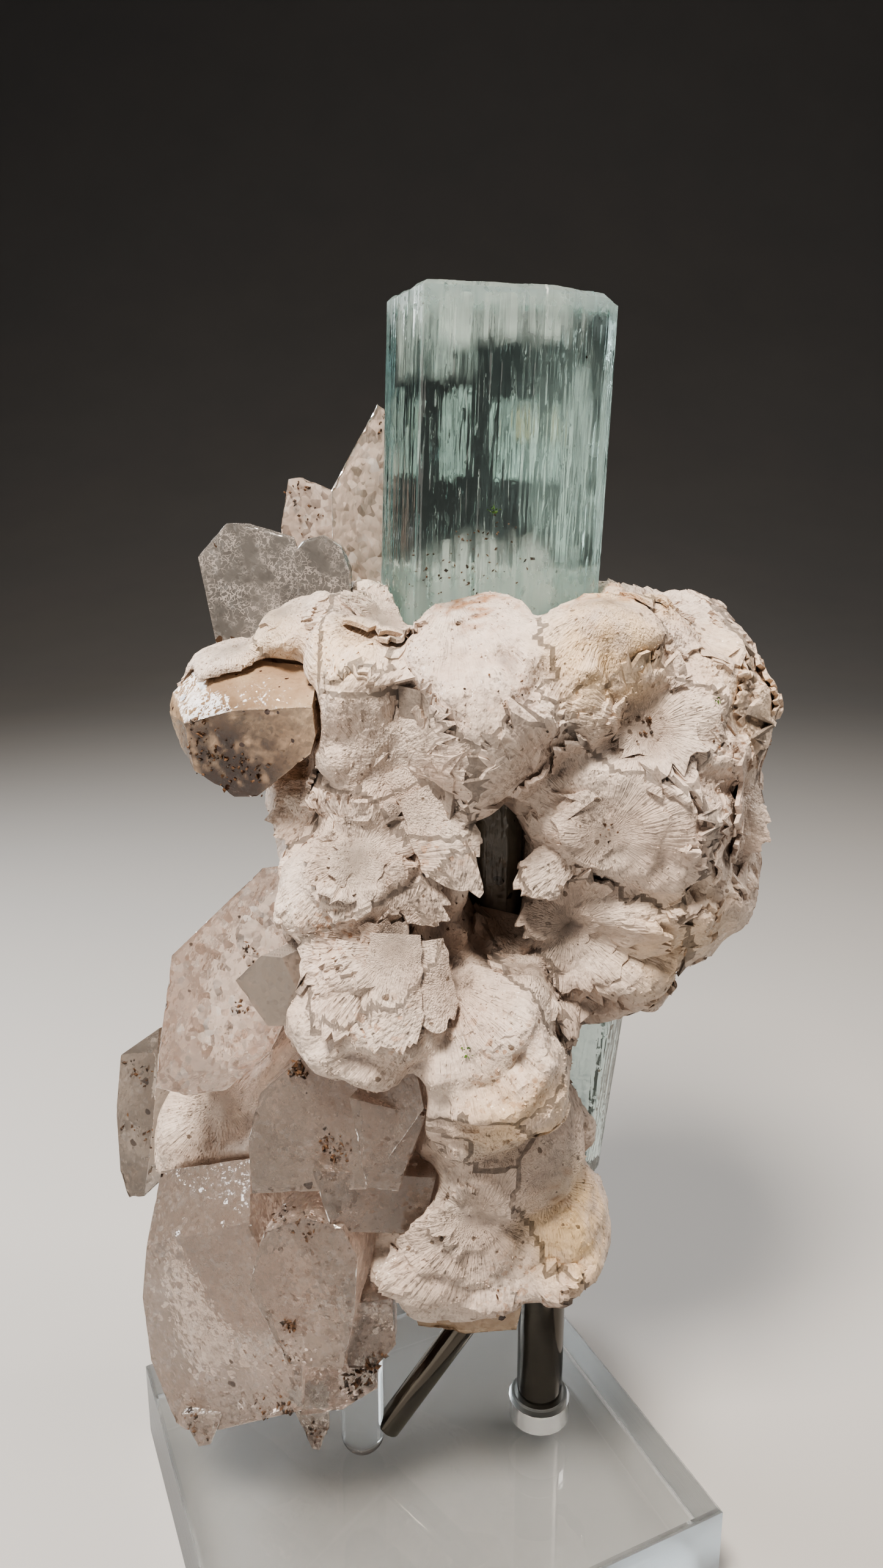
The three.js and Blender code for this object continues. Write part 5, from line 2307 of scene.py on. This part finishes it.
@dataclass
class Studio:
    """The camera at the photograph's viewing angle, a plain pale floor and soft lights."""

    camera_at: Point = (6.5, -106.7, 109.0)
    camera_pitch: float = math.radians(14)
    image_long_side: float = 2567.0
    focal_pixels: float = 1780.0
    sensor: float = 36.0
    nearest: float = 2.0
    farthest: float = 20000.0
    floor_half: float = 1500.0
    floor_drop: float = 0.1
    sweep_start: float = 500.0
    sweep_radius: float = 900.0
    sweep_height: float = 2400.0
    sweep_rows: int = 24
    world: Colour = (0.02, 0.02, 0.022)
    look: str = "AgX - Medium High Contrast"
    softboxes: tuple[Softbox, ...] = (
        Softbox("key", (-60.0, -130.0, 380.0), (6.0, 0.0, 75.0), 90.0, 2.45, (1.0, 0.90, 0.79)),
        Softbox("fill", (-230.0, -230.0, 120.0), (0.0, 0.0, 60.0), 300.0, 0.5, (1.0, 0.92, 0.83)),
        Softbox("side", (220.0, 40.0, 290.0), (8.0, 0.0, 80.0), 110.0, 0.7, (1.0, 0.93, 0.86)),
        Softbox("rim", (-240.0, 110.0, 250.0), (0.0, 0.0, 80.0), 140.0, 0.9, (0.93, 0.97, 1.0)),
    )

    def camera(self) -> None:
        """Place the camera, looking along +Y and pitched down."""
        data = bpy.data.cameras.new("viewpoint")
        data.sensor_width = self.sensor
        data.lens = self.focal_pixels / self.image_long_side * self.sensor
        data.clip_start = self.nearest * MM
        data.clip_end = self.farthest * MM
        camera = bpy.data.objects.new("viewpoint", data)
        camera.location = tuple(c * MM for c in self.camera_at)
        camera.rotation_euler = (math.pi / 2 - self.camera_pitch, 0.0, 0.0)
        bpy.context.scene.collection.objects.link(camera)
        bpy.context.scene.camera = camera

    def floor(self, material: Material) -> None:
        """Lay the floor under the block: a flat strip that curves up behind into a plain backdrop.

        Args:
            material: The floor's material.
        """
        turn = np.linspace(0, math.pi / 2, self.sweep_rows)
        depth = self.sweep_start + self.sweep_radius * np.sin(turn)
        height = self.sweep_radius * (1 - np.cos(turn))
        depth = np.concatenate([[-self.floor_half], depth, depth[-1:]])
        height = np.concatenate([[0.0], height, [self.sweep_height]]) - self.floor_drop
        side = np.array([-self.floor_half, self.floor_half])
        across, along = np.meshgrid(side, depth)
        points = np.stack([across, along, np.repeat(height[:, None], 2, axis=1)], axis=-1)
        floor = Skin(points.reshape(-1, 3), grid_faces(len(depth), 2)).piece("pale_floor")
        floor.data.materials.append(material)

    def lights(self) -> None:
        """Hang the soft lights and set the dim room."""
        for box in self.softboxes:
            data = bpy.data.lights.new(box.name, "AREA")
            data.size = box.width * MM
            data.energy = box.watts
            data.color = box.colour
            light = bpy.data.objects.new(box.name, data)
            place = np.eye(4)
            place[:3, :3] = frame_along(np.subtract(box.at, box.aim))
            place[:3, 3] = np.array(box.at) * MM
            light.matrix_world = place.T.tolist()
            bpy.context.scene.collection.objects.link(light)
        world = bpy.data.worlds.new("room")
        world.use_nodes = True
        world.node_tree.nodes["Background"].inputs["Color"].default_value = (*self.world, 1.0)
        bpy.context.scene.world = world
        bpy.context.scene.view_settings.look = self.look


def main() -> None:
    """Build every sub-assembly in order."""
    logging.basicConfig(level=logging.INFO, format="%(name)s %(message)s")
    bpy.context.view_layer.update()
    effects = Effects()
    materials = {finish.name: finish.material(effects) for finish in FINISHES}
    studio = Studio()
    studio.camera()
    studio.floor(materials["pale_floor"])
    studio.lights()
    skins = [crystal.build(materials) for crystal in ETCHED_CRYSTALS]
    skins += Aquamarines().build(materials)
    rods = [Skin.of_node(node) for node in ("support_post", "clear_peg", "slanted_prong")]
    skins.append(AlbiteMatrix().build(materials, joined(skins + rods)))
    EarthGrains().build(materials, skins)
    Stand().build(materials)


if __name__ == "__main__":
    main()
